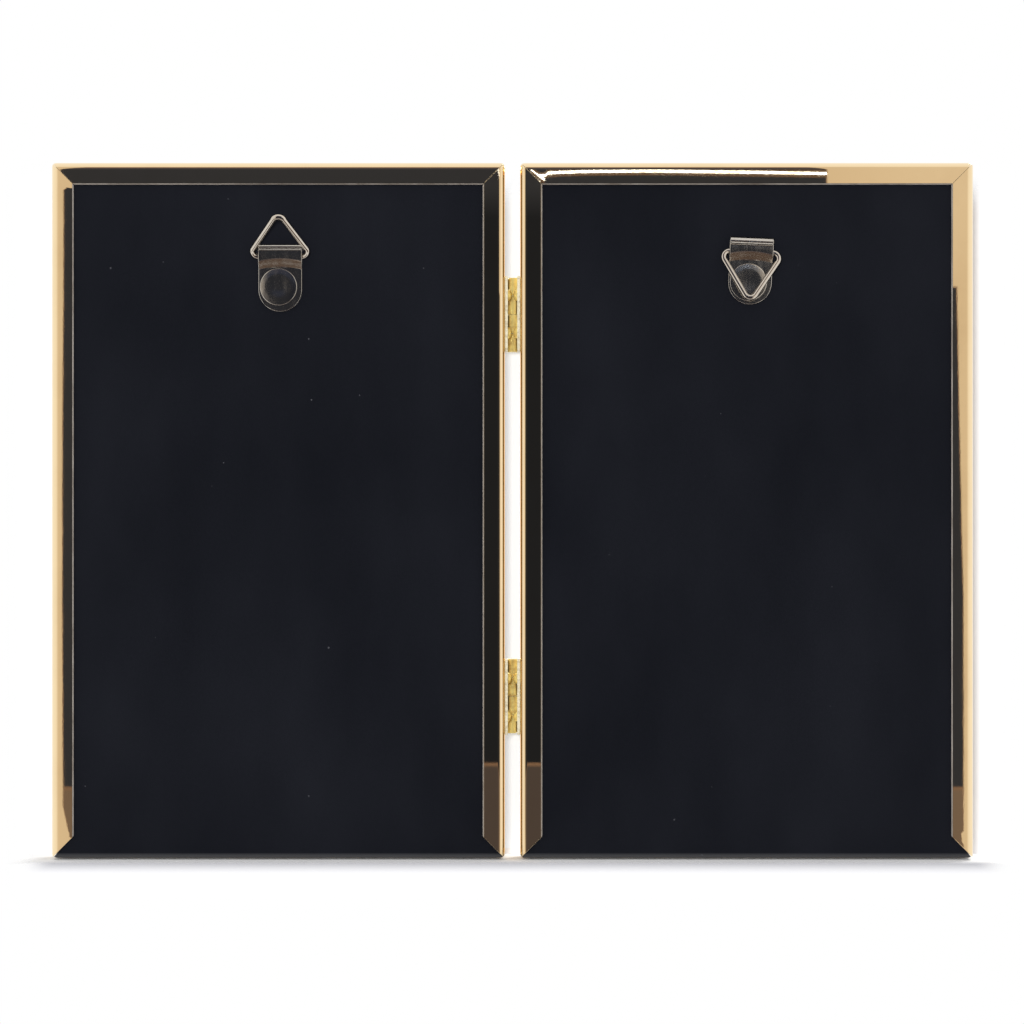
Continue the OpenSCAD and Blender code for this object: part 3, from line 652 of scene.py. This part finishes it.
def hinge_rivets(name, side):
    """Round headed rivets of both leaves of one side, with spread inner ends."""
    bm = bmesh.new()
    through = LEAF_T + SHEET
    head_r, r = LEAF_RIVET_HEAD_R, LEAF_RIVET_R
    turn = [math.radians(a) for a in range(0, 91, 9)]
    profile = [(head_r * math.sin(a), -LEAF_RIVET_HEAD_H * math.cos(a)) for a in turn]
    end = through + LEAF_RIVET_END_H
    profile += [(r, 0), (r, through), (head_r, through), (r, end), (0, end)]
    for base in HINGE_BASE.values():
        for way in (-1, 1):
            z0 = base + HINGE_L / 2 + way * LEAF_RIVET_PITCH / 2
            lathe(bm, profile, lambda a, b, h: at_hinge(side, BORE_R + h, LEAF_RIVET_BACK + a, z0 + b), steps=32)
    return solid(name, bm, sharp=40)


def hinge_pin(name, base):
    """Pin through the knuckles of both leaves."""
    bm = bmesh.new()
    e = PIN_EDGE
    profile = [(0, 0), (PIN_R - e, 0), (PIN_R, e), (PIN_R, HINGE_L - e), (PIN_R - e, HINGE_L), (0, HINGE_L)]
    lathe(bm, profile, lambda a, b, h: at_hinge(RIGHT, a, b, base + h), steps=40)
    return solid(name, bm, sharp=30)


# Materials. Each effect is a node group that hands out colours, masks, values or heights.
FLOAT = "NodeSocketFloat"
COLOR = "NodeSocketColor"


def group(name, inputs, *outputs):
    """An empty effect group, with its inputs' sockets, its output node and the place in the object."""
    tree = bpy.data.node_groups.new(name, "ShaderNodeTree")
    for label, value in inputs:
        kind = COLOR if isinstance(value, tuple) else FLOAT
        tree.interface.new_socket(label, in_out="INPUT", socket_type=kind).default_value = value
    for label in outputs:
        kind = COLOR if label == "Color" else FLOAT
        tree.interface.new_socket(label, in_out="OUTPUT", socket_type=kind)
    given = tree.nodes.new("NodeGroupInput").outputs
    go = tree.nodes.new("NodeGroupOutput")
    return tree, given, go, node(tree, "ShaderNodeTexCoord").outputs["Object"]


def node(tree, kind, **settings):
    n = tree.nodes.new(kind)
    for key, value in settings.items():
        if key.startswith("in_"):
            n.inputs[key[3:].replace("_", " ")].default_value = value
        else:
            setattr(n, key, value)
    return n


def feed(tree, socket, v):
    """Links v to a socket, or sets the socket where v is a plain value."""
    if isinstance(v, (int, float, tuple)):
        socket.default_value = v
    else:
        tree.links.new(v, socket)


def noise(tree, where, scale, detail=4.0, roughness=0.5):
    n = node(tree, "ShaderNodeTexNoise", in_Detail=detail, in_Roughness=roughness)
    feed(tree, n.inputs["Vector"], where)
    feed(tree, n.inputs["Scale"], scale)
    return n.outputs["Fac"]


def spread(tree, value, low, high, to_low=0.0, to_high=1.0, **settings):
    """Maps value from low..high to to_low..to_high, and keeps it there."""
    n = node(tree, "ShaderNodeMapRange", clamp=True, **settings)
    labels = ("Value", "From Min", "From Max", "To Min", "To Max")
    for label, v in zip(labels, (value, low, high, to_low, to_high)):
        feed(tree, n.inputs[label], v)
    return n.outputs["Result"]


def math_node(kind):
    """A function that puts one math operation of two values into a tree."""

    def put(tree, a, b=0.0):
        n = node(tree, "ShaderNodeMath", operation=kind)
        feed(tree, n.inputs[0], a)
        feed(tree, n.inputs[1], b)
        return n.outputs[0]

    return put


plus, minus, times, over, absolute, less, most, least = (
    math_node(kind)
    for kind in ("ADD", "SUBTRACT", "MULTIPLY", "DIVIDE", "ABSOLUTE", "LESS_THAN", "MAXIMUM", "MINIMUM")
)


def mixed(tree, factor, a, b):
    n = node(tree, "ShaderNodeMix", data_type="RGBA")
    for i, v in ((0, factor), (6, a), (7, b)):
        feed(tree, n.inputs[i], v)
    return n.outputs[2]


def stretched(tree, where, scale):
    n = node(tree, "ShaderNodeMapping", in_Scale=scale)
    tree.links.new(where, n.inputs["Vector"])
    return n.outputs["Vector"]


def split(tree, vector):
    n = node(tree, "ShaderNodeSeparateXYZ")
    tree.links.new(vector, n.inputs[0])
    return n.outputs


def hand_out(tree, go, *values):
    """Links values to a group's outputs, in their order."""
    for value, socket in zip(values, go.inputs):
        tree.links.new(value, socket)


def polished_metal_group():
    """Clean colour dulled in patches, with faint wiping marks and a roughness that follows them."""
    tree, given, go, at = group(
        "polished metal wear",
        [
            ("Clean Color", (0.9, 0.7, 0.42, 1)),
            ("Dull Color", (0.6, 0.42, 0.22, 1)),
            ("Dull Amount", 0.3),
            ("Patch Scale", 60.0),
            ("Mark Scale", 900.0),
            ("Least Roughness", 0.06),
            ("Most Roughness", 0.2),
            ("Wave Height", 0.0),
        ],
        "Color", "Roughness", "Height", "Dull Mask",
    )
    patches = noise(tree, at, given["Patch Scale"], 6.0, 0.6)
    fine = noise(tree, at, 2600.0, 2.0)
    marks = noise(tree, stretched(tree, at, (1.0, 1.0, 0.12)), given["Mark Scale"], 3.0, 0.6)
    amount = times(tree, spread(tree, patches, 0.45, 0.75), given["Dull Amount"])
    color = mixed(tree, amount, given["Clean Color"], given["Dull Color"])
    rough = plus(tree, times(tree, marks, 0.6), times(tree, patches, 0.5))
    rough = spread(tree, rough, 0.4, 0.75, given["Least Roughness"], given["Most Roughness"])
    waves = times(tree, noise(tree, at, 38.0, 1.0), given["Wave Height"])
    scuffs = plus(tree, times(tree, marks, 0.7), times(tree, fine, 0.3))
    hand_out(tree, go, color, rough, plus(tree, scuffs, waves), amount)
    return tree


def velvet_group():
    """Short pile whose dark colour shifts where it leans, a little lint, and a painted sheen that lightens its foot.
    """
    tree, given, go, at = group(
        "velvet pile",
        [
            ("Pile Color", (0.0045, 0.0050, 0.0072, 1)),
            ("Leaning Color", (0.0085, 0.0092, 0.0125, 1)),
            ("Lint Color", (0.09, 0.09, 0.10, 1)),
            ("Lint Amount", 0.6),
            # the colour of the foot's painted sheen, and how high up the foot it reaches
            ("Painted Foot Sheen Color", (0.075, 0.075, 0.078, 1)),
            ("Painted Foot Sheen Height", 0.0013),
            ("Pile Scale", 5200.0),
        ],
        "Color", "Roughness", "Height", "Lint Mask",
    )
    pile = noise(tree, at, given["Pile Scale"], 2.0, 0.7)
    lean = noise(tree, stretched(tree, at, (1.0, 1.0, 0.5)), 34.0, 3.0, 0.5)
    thin = noise(tree, at, 900.0, 3.0, 0.6)
    cells = node(tree, "ShaderNodeTexVoronoi", feature="F1", in_Scale=130.0, in_Randomness=1.0)
    tree.links.new(at, cells.inputs["Vector"])
    speck = less(tree, cells.outputs["Distance"], spread(tree, noise(tree, at, 60.0, 2.0), 0.35, 0.75, 0.0, 0.06))
    lint = times(tree, times(tree, speck, spread(tree, thin, 0.42, 0.56)), given["Lint Amount"])
    shade = spread(tree, plus(tree, times(tree, lean, 0.6), times(tree, pile, 0.4)), 0.35, 0.68)
    color = mixed(tree, shade, given["Pile Color"], given["Leaning Color"])
    color = mixed(tree, lint, color, given["Lint Color"])
    # painted sheen: the lowest part of the foot is mixed toward a lighter colour, standing in for light caught by the
    # pile there
    rubbed = over(tree, minus(tree, given["Painted Foot Sheen Height"], split(tree, at)["Z"]), given["Painted Foot Sheen Height"])
    color = mixed(tree, spread(tree, rubbed, 0.0, 1.0), color, given["Painted Foot Sheen Color"])
    rough = spread(tree, pile, 0.3, 0.7, 0.85, 1.0)
    hand_out(tree, go, color, rough, plus(tree, pile, times(tree, lean, 0.6)), lint)
    return tree


def fibre_group():
    """Pressed fibre, card or paper: two colours in short fibres, with a fine rough height."""
    tree, given, go, at = group(
        "pressed fibre",
        [
            ("Base Color", (0.4, 0.38, 0.34, 1)),
            ("Fibre Color", (0.3, 0.28, 0.25, 1)),
            ("Fibre Amount", 0.6),
            ("Fibre Scale", 700.0),
        ],
        "Color", "Roughness", "Height",
    )
    fibre = noise(tree, stretched(tree, at, (1.0, 1.0, 0.25)), given["Fibre Scale"], 5.0, 0.65)
    cloud = noise(tree, at, 45.0, 3.0)
    mask = spread(tree, plus(tree, times(tree, fibre, 0.7), times(tree, cloud, 0.3)), 0.42, 0.62)
    color = mixed(tree, times(tree, mask, given["Fibre Amount"]), given["Base Color"], given["Fibre Color"])
    hand_out(tree, go, color, spread(tree, fibre, 0.3, 0.7, 0.7, 0.95), fibre)
    return tree


def glass_group():
    """Faint smears that only change how rough the glass is."""
    tree, given, go, at = group(
        "glass smears",
        [("Clear Roughness", 0.0), ("Smear Roughness", 0.05), ("Smear Scale", 25.0)],
        "Roughness", "Smear Mask",
    )
    smears = noise(tree, stretched(tree, at, (1.0, 1.0, 0.4)), given["Smear Scale"], 5.0, 0.6)
    mask = spread(tree, smears, 0.5, 0.72)
    hand_out(tree, go, spread(tree, mask, 0.0, 1.0, given["Clear Roughness"], given["Smear Roughness"]), mask)
    return tree


WEAR = polished_metal_group()
PILE = velvet_group()
FIBRE = fibre_group()


def material(name, effect, settings, shader_values, bump=0.0, distance=0.00002):
    """A material whose varying values come from an effect group, and constants from the shader."""
    m = bpy.data.materials.new(name)
    m.use_nodes = True
    tree = m.node_tree
    shader = next(n for n in tree.nodes if n.type == "BSDF_PRINCIPLED")
    g = node(tree, "ShaderNodeGroup", node_tree=effect)
    for key, value in settings.items():
        g.inputs[key].default_value = value
    if "Color" in g.outputs:
        tree.links.new(g.outputs["Color"], shader.inputs["Base Color"])
    tree.links.new(g.outputs["Roughness"], shader.inputs["Roughness"])
    for key, value in shader_values.items():
        shader.inputs[key].default_value = value
    if bump > 0:
        b = node(tree, "ShaderNodeBump", in_Strength=bump, in_Distance=distance)
        tree.links.new(g.outputs["Height"], b.inputs["Height"])
        tree.links.new(b.outputs["Normal"], shader.inputs["Normal"])
    return m


def metal(name, clean, dull, amount, patches, rough, metallic, bump, waves=0.0):
    """Metal with a clean and a dull colour and a range of roughness."""
    settings = {"Clean Color": clean + (1,), "Dull Color": dull + (1,), "Dull Amount": amount, "Patch Scale": patches}
    settings |= {"Least Roughness": rough[0], "Most Roughness": rough[1], "Wave Height": waves}
    return material(name, WEAR, settings, {"Metallic": metallic}, bump)


def pressed(name, base, fibre, amount, scale, level, bump, distance):
    """Board, card or paper of two colours of fibre."""
    settings = {"Base Color": base + (1,), "Fibre Color": fibre + (1,), "Fibre Amount": amount, "Fibre Scale": scale}
    return material(name, FIBRE, settings, {"Specular IOR Level": level}, bump, distance)


gilt = metal(
    "polished gilt", (0.90, 0.69, 0.41), (0.62, 0.42, 0.22),
    amount=0.2, patches=60.0, rough=(0.01, 0.028), metallic=1.0, bump=0.04, waves=8.0,
)
# painted sheen: the gilt's colour is mixed paler where the surface is seen edge on, as round the folds
gilt_tree = gilt.node_tree
gilt_base = next(n for n in gilt_tree.nodes if n.type == "BSDF_PRINCIPLED").inputs["Base Color"]
gilt_turned = node(gilt_tree, "ShaderNodeLayerWeight", in_Blend=0.5)
painted_edge_sheen = spread(gilt_tree, gilt_turned.outputs["Facing"], 0.05, 0.9)
gilt_tree.links.new(mixed(gilt_tree, painted_edge_sheen, gilt_base.links[0].from_socket, (1.0, 0.86, 0.62, 1)), gilt_base)
hinge_brass = metal(
    "hinge brass", (1.0, 0.83, 0.30), (0.40, 0.20, 0.04),
    amount=0.8, patches=620.0, rough=(0.07, 0.2), metallic=0.43, bump=0.4,
)
cut_brass = metal(
    "cut brass edge", (0.98, 0.93, 0.72), (0.50, 0.42, 0.24),
    amount=0.9, patches=1500.0, rough=(0.35, 0.55), metallic=0.4, bump=0.3,
)
cut_rail = metal(
    "cut sheet edge", (0.52, 0.47, 0.42), (0.26, 0.21, 0.16),
    amount=0.6, patches=160.0, rough=(0.3, 0.5), metallic=1.0, bump=0.1,
)
nickel = metal(
    "bright nickel", (0.66, 0.60, 0.52), (0.34, 0.28, 0.22),
    amount=0.3, patches=260.0, rough=(0.04, 0.14), metallic=1.0, bump=0.1,
)
rubbed_nickel = metal(
    "rubbed nickel", (0.60, 0.56, 0.50), (0.36, 0.32, 0.27),
    amount=0.5, patches=330.0, rough=(0.12, 0.27), metallic=1.0, bump=0.04,
)
zinc = metal(
    "zinc plated steel", (0.55, 0.56, 0.56), (0.32, 0.33, 0.34),
    amount=0.5, patches=200.0, rough=(0.28, 0.45), metallic=1.0, bump=0.1,
)
soft = {"Sheen Weight": 0.18, "Sheen Roughness": 0.2, "Specular IOR Level": 0.04}
pile = material("black velvet", PILE, {}, soft, bump=0.5, distance=0.00008)
matt_black = {"Pile Color": (0.012, 0.012, 0.013, 1), "Leaning Color": (0.02, 0.02, 0.021, 1), "Lint Amount": 0.2}
flock = material("black flocked paper", PILE, matt_black, {"Specular IOR Level": 0.2}, bump=0.3, distance=0.00004)
fibreboard = pressed(
    "fibreboard", (0.27, 0.17, 0.10), (0.16, 0.10, 0.06),
    amount=0.8, scale=700.0, level=0.3, bump=0.3, distance=0.00005,
)
card = pressed(
    "grey card", (0.42, 0.40, 0.36), (0.28, 0.27, 0.24),
    amount=0.6, scale=700.0, level=0.3, bump=0.25, distance=0.00004,
)
paper = pressed(
    "blank paper", (0.84, 0.83, 0.79), (0.78, 0.77, 0.72),
    amount=0.35, scale=1500.0, level=0.35, bump=0.08, distance=0.00002,
)
clear = {"Base Color": (0.965, 0.985, 0.975, 1), "Transmission Weight": 1.0, "IOR": 1.52}
clear_glass = material("clear glass", glass_group(), {}, clear)


# Pieces
def rail_section(steps, bevel):
    return closed_section(folded_path(steps, (FACE_W - SHEET / 2, LIP_D), 270), SHEET, bevel, 0.15)


section, bottom_section = rail_section(RAIL_STEPS, FLANGE_BEVEL), rail_section(BOTTOM_STEPS, 0.1)
for side in (RIGHT, LEFT):
    s = SIDE_NAME[side]
    panel, back, swing = s + "_frame", s + "_back", s + "_ring"
    for where in ("top", "outer", "inner", "bottom"):
        name = f"{s}_rail_{where}"
        shape = bottom_section if where == "bottom" else section
        # one flange stands a hair proud at its top
        twists = (0.0, FLANGE_TWIST) if (side, where) == (RIGHT, "outer") else (0.0, 0.0)
        noted(rail(name + "_sheet", side, where, shape, twists), panel, [name], "gilt_rails", gilt, cut_rail)
    noted(corner_key(s + "_corner_key_strips", side), panel, [s + "_corner_keys"], "plated_steel", zinc)
    lo, hi_u, hi_z = PANE_INSET, PANEL_W - PANE_INSET, PANEL_H - PANE_INSET
    pane = slab(s + "_glass_pane", side, lo, hi_u, GLASS_V, GLASS_V + GLASS_T, lo, hi_z, bevel=0.15)
    noted(pane, panel, [s + "_glass"], "glass", clear_glass)
    # sheets that lie on each other keep a hair of room
    v0, v1 = INSERT_V + SHEET_ROOM, INSERT_V + INSERT_T - SHEET_ROOM
    u1, z1 = PRINT_U + PRINT_W, PRINT_Z + PRINT_H
    insert = slab(s + "_blank_insert", side, PRINT_U, u1, v0, v1, PRINT_Z, z1, bevel=0.04)
    noted(insert, panel, [s + "_photo_insert"], "blank_paper", paper)
    spacer = slab(s + "_spacer_card_sheet", side, lo, hi_u, CARD_V, CARD_V + CARD_T, lo, hi_z, bevel=0.1)
    noted(spacer, panel, [s + "_spacer_card"], "grey_card", card)
    noted(board(s + "_board_core", side), back, [s + "_back_board"], "fibreboard", fibreboard)
    noted(velvet(s + "_velvet_cover", side), back, [s + "_back_velvet"], "velvet", pile)
    lo, hi_u, hi_z = TURN_INSET, PANEL_W - TURN_INSET, PANEL_H - TURN_INSET
    v1 = BACK_V + LINING_T - 2 * SHEET_ROOM
    lining = slab(s + "_lining_paper", side, lo, hi_u, BACK_V, v1, lo, hi_z, bevel=0.05)
    noted(lining, back, [s + "_back_lining"], "black_paper", flock)
    noted(strap(s + "_strap_folded", side), back, [s + "_hanger_strap"], "nickel", rubbed_nickel)
    noted(hanger_rivet(s + "_strap_rivet", side), back, [s + "_hanger_rivet"], "nickel", rubbed_nickel)
    noted(hanger_washer(s + "_rivet_washer", side), back, [s + "_hanger_washer"], "plated_steel", zinc)
    noted(ring(s + "_wire_ring", side), swing, [s + "_hanger_ring"], "nickel", nickel)
    for place, base in HINGE_BASE.items():
        leaf = hinge_leaf(f"{s}_leaf_{place}", side, base, 0 if side == RIGHT else 1)
        noted(leaf, panel, [f"{s}_hinge_leaf_{place}"], "hinge_brass", hinge_brass, cut_brass)
    noted(hinge_rivets(s + "_leaf_rivets", side), panel, [s + "_hinge_rivets"], "hinge_brass", hinge_brass)
for place, base in HINGE_BASE.items():
    noted(hinge_pin(f"pin_{place}", base), "left_frame", ["hinge_pin_" + place], "hinge_brass", hinge_brass)


# Stage, in metres: white sheets behind and below that only show where a shadow falls, dark and brown
# cards for the metal to mirror, and lamps. REAR is where the flat rear of the frames lies.
REAR = (RAIL_D - MIDDLE_V) * MM
CAMERA_Y = REAR + 0.8511
VIEW_W = 0.2426
SENSOR_W = 36.0
BACKDROP_Y = REAR - 0.0165
CARD_Y = REAR + 0.196
FLOOR_Z = -0.0004
TABLE_Z = -0.11
SHEET_FOOT, SHEET_TOP = 0.001, 0.164
SHEET_HALF_W = 0.2
FADE_END = 0.012


def flat(name, *outlines):
    """Flat faces in one object of the stage."""
    mesh = bpy.data.meshes.new(name)
    faces, count = [], 0
    for outline in outlines:
        faces.append(tuple(range(count, count + len(outline))))
        count += len(outline)
    mesh.from_pydata([Vector(c) for outline in outlines for c in outline], [], faces)
    obj = bpy.data.objects.new(name, mesh)
    bpy.context.scene.collection.objects.link(obj)
    return obj


def hide(obj, *rays):
    for ray in rays:
        setattr(obj, "visible_" + ray, False)


def bare_material(obj):
    """Gives obj a material with nothing but an output, and returns its tree and that output's socket."""
    m = bpy.data.materials.new(obj.name + " surface")
    m.use_nodes = True
    m.node_tree.nodes.clear()
    obj.data.materials.append(m)
    return m.node_tree, node(m.node_tree, "ShaderNodeOutputMaterial").inputs["Surface"]


def white_sheet(obj, albedo, own_color, half_x, low, high, axis, near, one_sided):
    """White that fades out away from the object's outline, which is half_x wide to either side and
    goes from low to high along axis; own_color keeps it from going grey."""
    tree, surface = bare_material(obj)
    diffuse = node(tree, "ShaderNodeBsdfDiffuse", in_Color=(albedo, albedo, albedo, 1))
    glow = node(tree, "ShaderNodeEmission", in_Color=own_color + (1,), in_Strength=1.0)
    lit = node(tree, "ShaderNodeAddShader")
    tree.links.new(diffuse.outputs[0], lit.inputs[0])
    tree.links.new(glow.outputs[0], lit.inputs[1])
    at = node(tree, "ShaderNodeNewGeometry").outputs
    place = split(tree, at["Position"])
    out_x = minus(tree, absolute(tree, place["X"]), half_x)
    out = most(tree, minus(tree, low, place[axis]), minus(tree, place[axis], high))
    alpha = spread(tree, most(tree, out_x, out), near, FADE_END, 1.0, 0.0, interpolation_type="SMOOTHSTEP")
    if one_sided:
        # not from behind, and not as a thin line from the side
        turned = node(tree, "ShaderNodeLayerWeight", in_Blend=0.5)
        alpha = times(tree, alpha, minus(tree, 1.0, at["Backfacing"]))
        alpha = times(tree, alpha, spread(tree, turned.outputs["Facing"], 0.75, 0.9, 1.0, 0.0))
    mix = node(tree, "ShaderNodeMixShader")
    tree.links.new(alpha, mix.inputs[0])
    tree.links.new(node(tree, "ShaderNodeBsdfTransparent").outputs[0], mix.inputs[1])
    tree.links.new(lit.outputs[0], mix.inputs[2])
    tree.links.new(mix.outputs[0], surface)


floor = flat("floor", [(x, y, FLOOR_Z) for x, y in ((-0.3, -0.2), (0.3, -0.2), (0.3, 0.2), (-0.3, 0.2))])
white_sheet(
    floor, albedo=0.9, own_color=(0.03, 0.03, 0.03),
    half_x=0.108, low=-0.009, high=0.001, axis="Y", near=0.001, one_sided=False,
)


def upright_sheet(x0, x1, z0=SHEET_FOOT, z1=SHEET_TOP):
    return [(x, BACKDROP_Y, z) for x, z in ((x0, z0), (x0, z1), (x1, z1), (x1, z0))]


# the sheet seen through the gap has more light of its own than the one round the frames
round_frames = [
    upright_sheet(-SHEET_HALF_W, SHEET_HALF_W, -0.05, SHEET_FOOT),
    upright_sheet(-SHEET_HALF_W, -0.1),
    upright_sheet(0.1, SHEET_HALF_W),
]
in_gap = [upright_sheet(-0.01, 0.01)]
for name, albedo, own_color, sheets in (
    ("backdrop", 0.72, (0.0, 0.0, 0.03), round_frames),
    ("gap backdrop", 0.5, (0.255, 0.295, 0.355), in_gap),
):
    behind = flat(name, *sheets)
    white_sheet(behind, albedo, own_color, half_x=0.109, low=0.0, high=0.152, axis="Z", near=0.002, one_sided=True)
    hide(behind, "diffuse", "glossy", "transmission", "shadow")


def glowing(obj, color):
    """Gives obj a plain light of a colour, or of a function of x and z, that only mirrors see."""
    hide(obj, "camera", "diffuse", "shadow", "transmission")
    tree, surface = bare_material(obj)
    if callable(color):
        place = split(tree, node(tree, "ShaderNodeNewGeometry").outputs["Position"])
        color = color(tree, place["X"], place["Z"])
    glow = node(tree, "ShaderNodeEmission", in_Strength=1.0)
    feed(tree, glow.inputs["Color"], color)
    tree.links.new(glow.outputs[0], surface)


# The card's shades, by where the rails mirror them.
DARK_MIDDLE = (0.0155, 0.019, 0.030, 1)
DARK_WIDE = (0.032, 0.034, 0.042, 1)
DARK_OUTER = (0.035, 0.042, 0.066, 1)
GREY_ABOVE = (0.085, 0.088, 0.125, 1)
BROWN_ABOVE = (0.16, 0.09, 0.09, 1)
FOOT_MIDDLE = (0.078, 0.070, 0.083, 1)
FOOT_OUTER = (0.19, 0.155, 0.145, 1)
FOOT_RIM = (0.24, 0.165, 0.135, 1)
EDGE_BROWN = (0.16, 0.10, 0.08, 1)
TAN = (0.74, 0.67, 0.59, 1)
WHITE = (1.0, 1.0, 1.0, 1)
TABLE_BROWN = (0.14, 0.095, 0.07, 1)
MIDDLE_X, OUTER_X = 0.012, 0.12
FOOT_Z_MIDDLE, FOOT_Z_OUTER, FOOT_SOFT = 0.009, 0.002, 0.0003


def card_shade(t, x, z):
    """Dark as the middle rails show it, softer toward the outer ones, brown toward its foot."""
    off = absolute(t, x)
    dark = mixed(t, spread(t, off, MIDDLE_X, 0.03), DARK_MIDDLE, DARK_WIDE)
    dark = mixed(t, most(t, spread(t, off, 0.112, 0.125), spread(t, z, 0.168, 0.177)), dark, DARK_OUTER)
    # the foot's upper edge runs down toward the outer sides and has a rim of its own
    below = minus(t, spread(t, off, MIDDLE_X, OUTER_X, FOOT_Z_MIDDLE, FOOT_Z_OUTER), z)
    foot = mixed(t, spread(t, off, MIDDLE_X, OUTER_X), FOOT_MIDDLE, FOOT_OUTER)
    foot = mixed(t, spread(t, below, 0.0004, 0.0013), FOOT_RIM, foot)
    return mixed(t, spread(t, below, -FOOT_SOFT, FOOT_SOFT), dark, foot)


# How x of the dark field's edges goes with z: the sum of parts, each from z, to z, from x, to x.
RIGHT_EDGE = [
    (0.0857, 0.1585, 0.1323, 0.1316),
    (-0.002, 0.0857, -0.0004, 0.0),
    (-0.0125, -0.0035, -0.0027, 0.0),
    (-0.02, -0.0125, -0.012, 0.0),
]
LEFT_EDGE = [(0.0565, 0.1148, -0.1326, -0.1306), (0.1148, 0.148, 0.0, 0.0008)]
NOTCH_X, NOTCH_Z = -0.0914, 0.1475
FIELD_TOP = 0.34
RIM_W, TAN_W = 0.0006, 0.16


def edge_line(t, z, parts):
    line = spread(t, z, *parts[0])
    for part in parts[1:]:
        line = plus(t, line, spread(t, z, *part))
    return line


def card_color(t, x, z):
    """The card's dark field, whose shade runs out in a thin brown rim, tan and then white."""
    across = most(t, minus(t, edge_line(t, z, LEFT_EDGE), x), minus(t, x, edge_line(t, z, RIGHT_EDGE)))
    notch = least(t, minus(t, NOTCH_X, x), minus(t, z, NOTCH_Z))
    away = most(t, across, most(t, minus(t, z, FIELD_TOP), notch))
    near = mixed(t, spread(t, away, 0.0, RIM_W), EDGE_BROWN, TAN)
    outside = mixed(t, spread(t, away, RIM_W, TAN_W), near, WHITE)
    inside = mixed(t, spread(t, z, TABLE_Z, -0.04), EDGE_BROWN, card_shade(t, x, z))
    inside = mixed(t, spread(t, z, 0.19, 0.25), inside, GREY_ABOVE)
    inside = mixed(t, spread(t, z, 0.25, 0.335), inside, BROWN_ABOVE)
    return mixed(t, spread(t, away, -0.0001, 0.0), inside, outside)


around = [(-0.3, -0.36), (-0.3, 0.42), (0.3, 0.42), (0.3, -0.36)]
glowing(flat("dark card", [(x, CARD_Y, z) for x, z in around]), card_color)

# a bright line on the card, that bows and has a hook at its near end; each point is (x, z)
STREAK = [
    (-0.0078, 0.1818), (-0.0130, 0.1824), (-0.0221, 0.1828),
    (-0.0435, 0.1830), (-0.0649, 0.1825), (-0.0914, 0.1819),
]
HOOK = [(-0.0054, 0.1840), (-0.0070, 0.1822), (-0.0093, 0.1797)]
HOOK_WIDER = 1.3


def band(line, width, y):
    """Faces along a line of points (x, z), as high as width."""
    h = width / 2
    ends = zip(line, line[1:])
    return [[(x0, y, z0 - h), (x0, y, z0 + h), (x1, y, z1 + h), (x1, y, z1 - h)] for (x0, z0), (x1, z1) in ends]


for label, width, ahead, color in (
    ("streak rim", 0.0034, 0.0005, (0.15, 0.11, 0.095, 1)),
    ("bright streak", 0.0010, 0.001, (4.0, 4.8, 6.2, 1)),
):
    faces = band(STREAK, width, CARD_Y - ahead) + band(HOOK, HOOK_WIDER * width, CARD_Y - ahead)
    glowing(flat(label, *faces), color)
table = [(0.2, REAR + 0.08), (0.2, CARD_Y), (-0.2, CARD_Y), (-0.2, REAR + 0.08)]
glowing(flat("brown card", [(x, y, TABLE_Z) for x, y in table]), TABLE_BROWN)


def lamp(name, at, size, power):
    """A square lamp aimed at the middle of the object."""
    data = bpy.data.lights.new(name, "AREA")
    data.shape = "SQUARE"
    data.size = size
    data.energy = power
    obj = bpy.data.objects.new(name, data)
    obj.location = at
    obj.rotation_euler = (Vector((0, 0, 0.08)) - Vector(at)).to_track_quat("-Z", "Y").to_euler()
    bpy.context.scene.collection.objects.link(obj)
    return obj


hide(lamp("key lamp", (0.049, REAR + 0.85, 0.145), size=0.1, power=6.0), "glossy")
lamp("front lamp", (-0.55, -0.75, 0.75), size=0.5, power=9.0)

# the room: white to the camera and to mirroring and clear surfaces, a little less as a light
ROOM_LIGHT = 0.75
world = bpy.data.worlds.new("white room")
bpy.context.scene.world = world
world.use_nodes = True
tree = world.node_tree
tree.nodes.clear()
rays = node(tree, "ShaderNodeLightPath").outputs
seen = most(tree, rays["Is Camera Ray"], most(tree, rays["Is Glossy Ray"], rays["Is Transmission Ray"]))
sky = node(tree, "ShaderNodeBackground", in_Color=(1, 1, 1, 1))
tree.links.new(spread(tree, seen, 0.0, 1.0, ROOM_LIGHT, 1.0), sky.inputs["Strength"])
tree.links.new(sky.outputs[0], node(tree, "ShaderNodeOutputWorld").inputs["Surface"])

# Camera, square on to the backs
camera_data = bpy.data.cameras.new("camera")
camera = bpy.data.objects.new("camera", camera_data)
bpy.context.scene.collection.objects.link(camera)
camera.location = (0.00012, CAMERA_Y, 0.08214)
camera.rotation_euler = (math.radians(90), 0, math.radians(180))
camera_data.sensor_width = SENSOR_W
camera_data.lens = SENSOR_W * (CAMERA_Y - REAR) / VIEW_W
camera_data.clip_start = 0.01
bpy.context.scene.camera = camera
bpy.context.scene.view_settings.view_transform = "Standard"

bpy.context.view_layer.update()
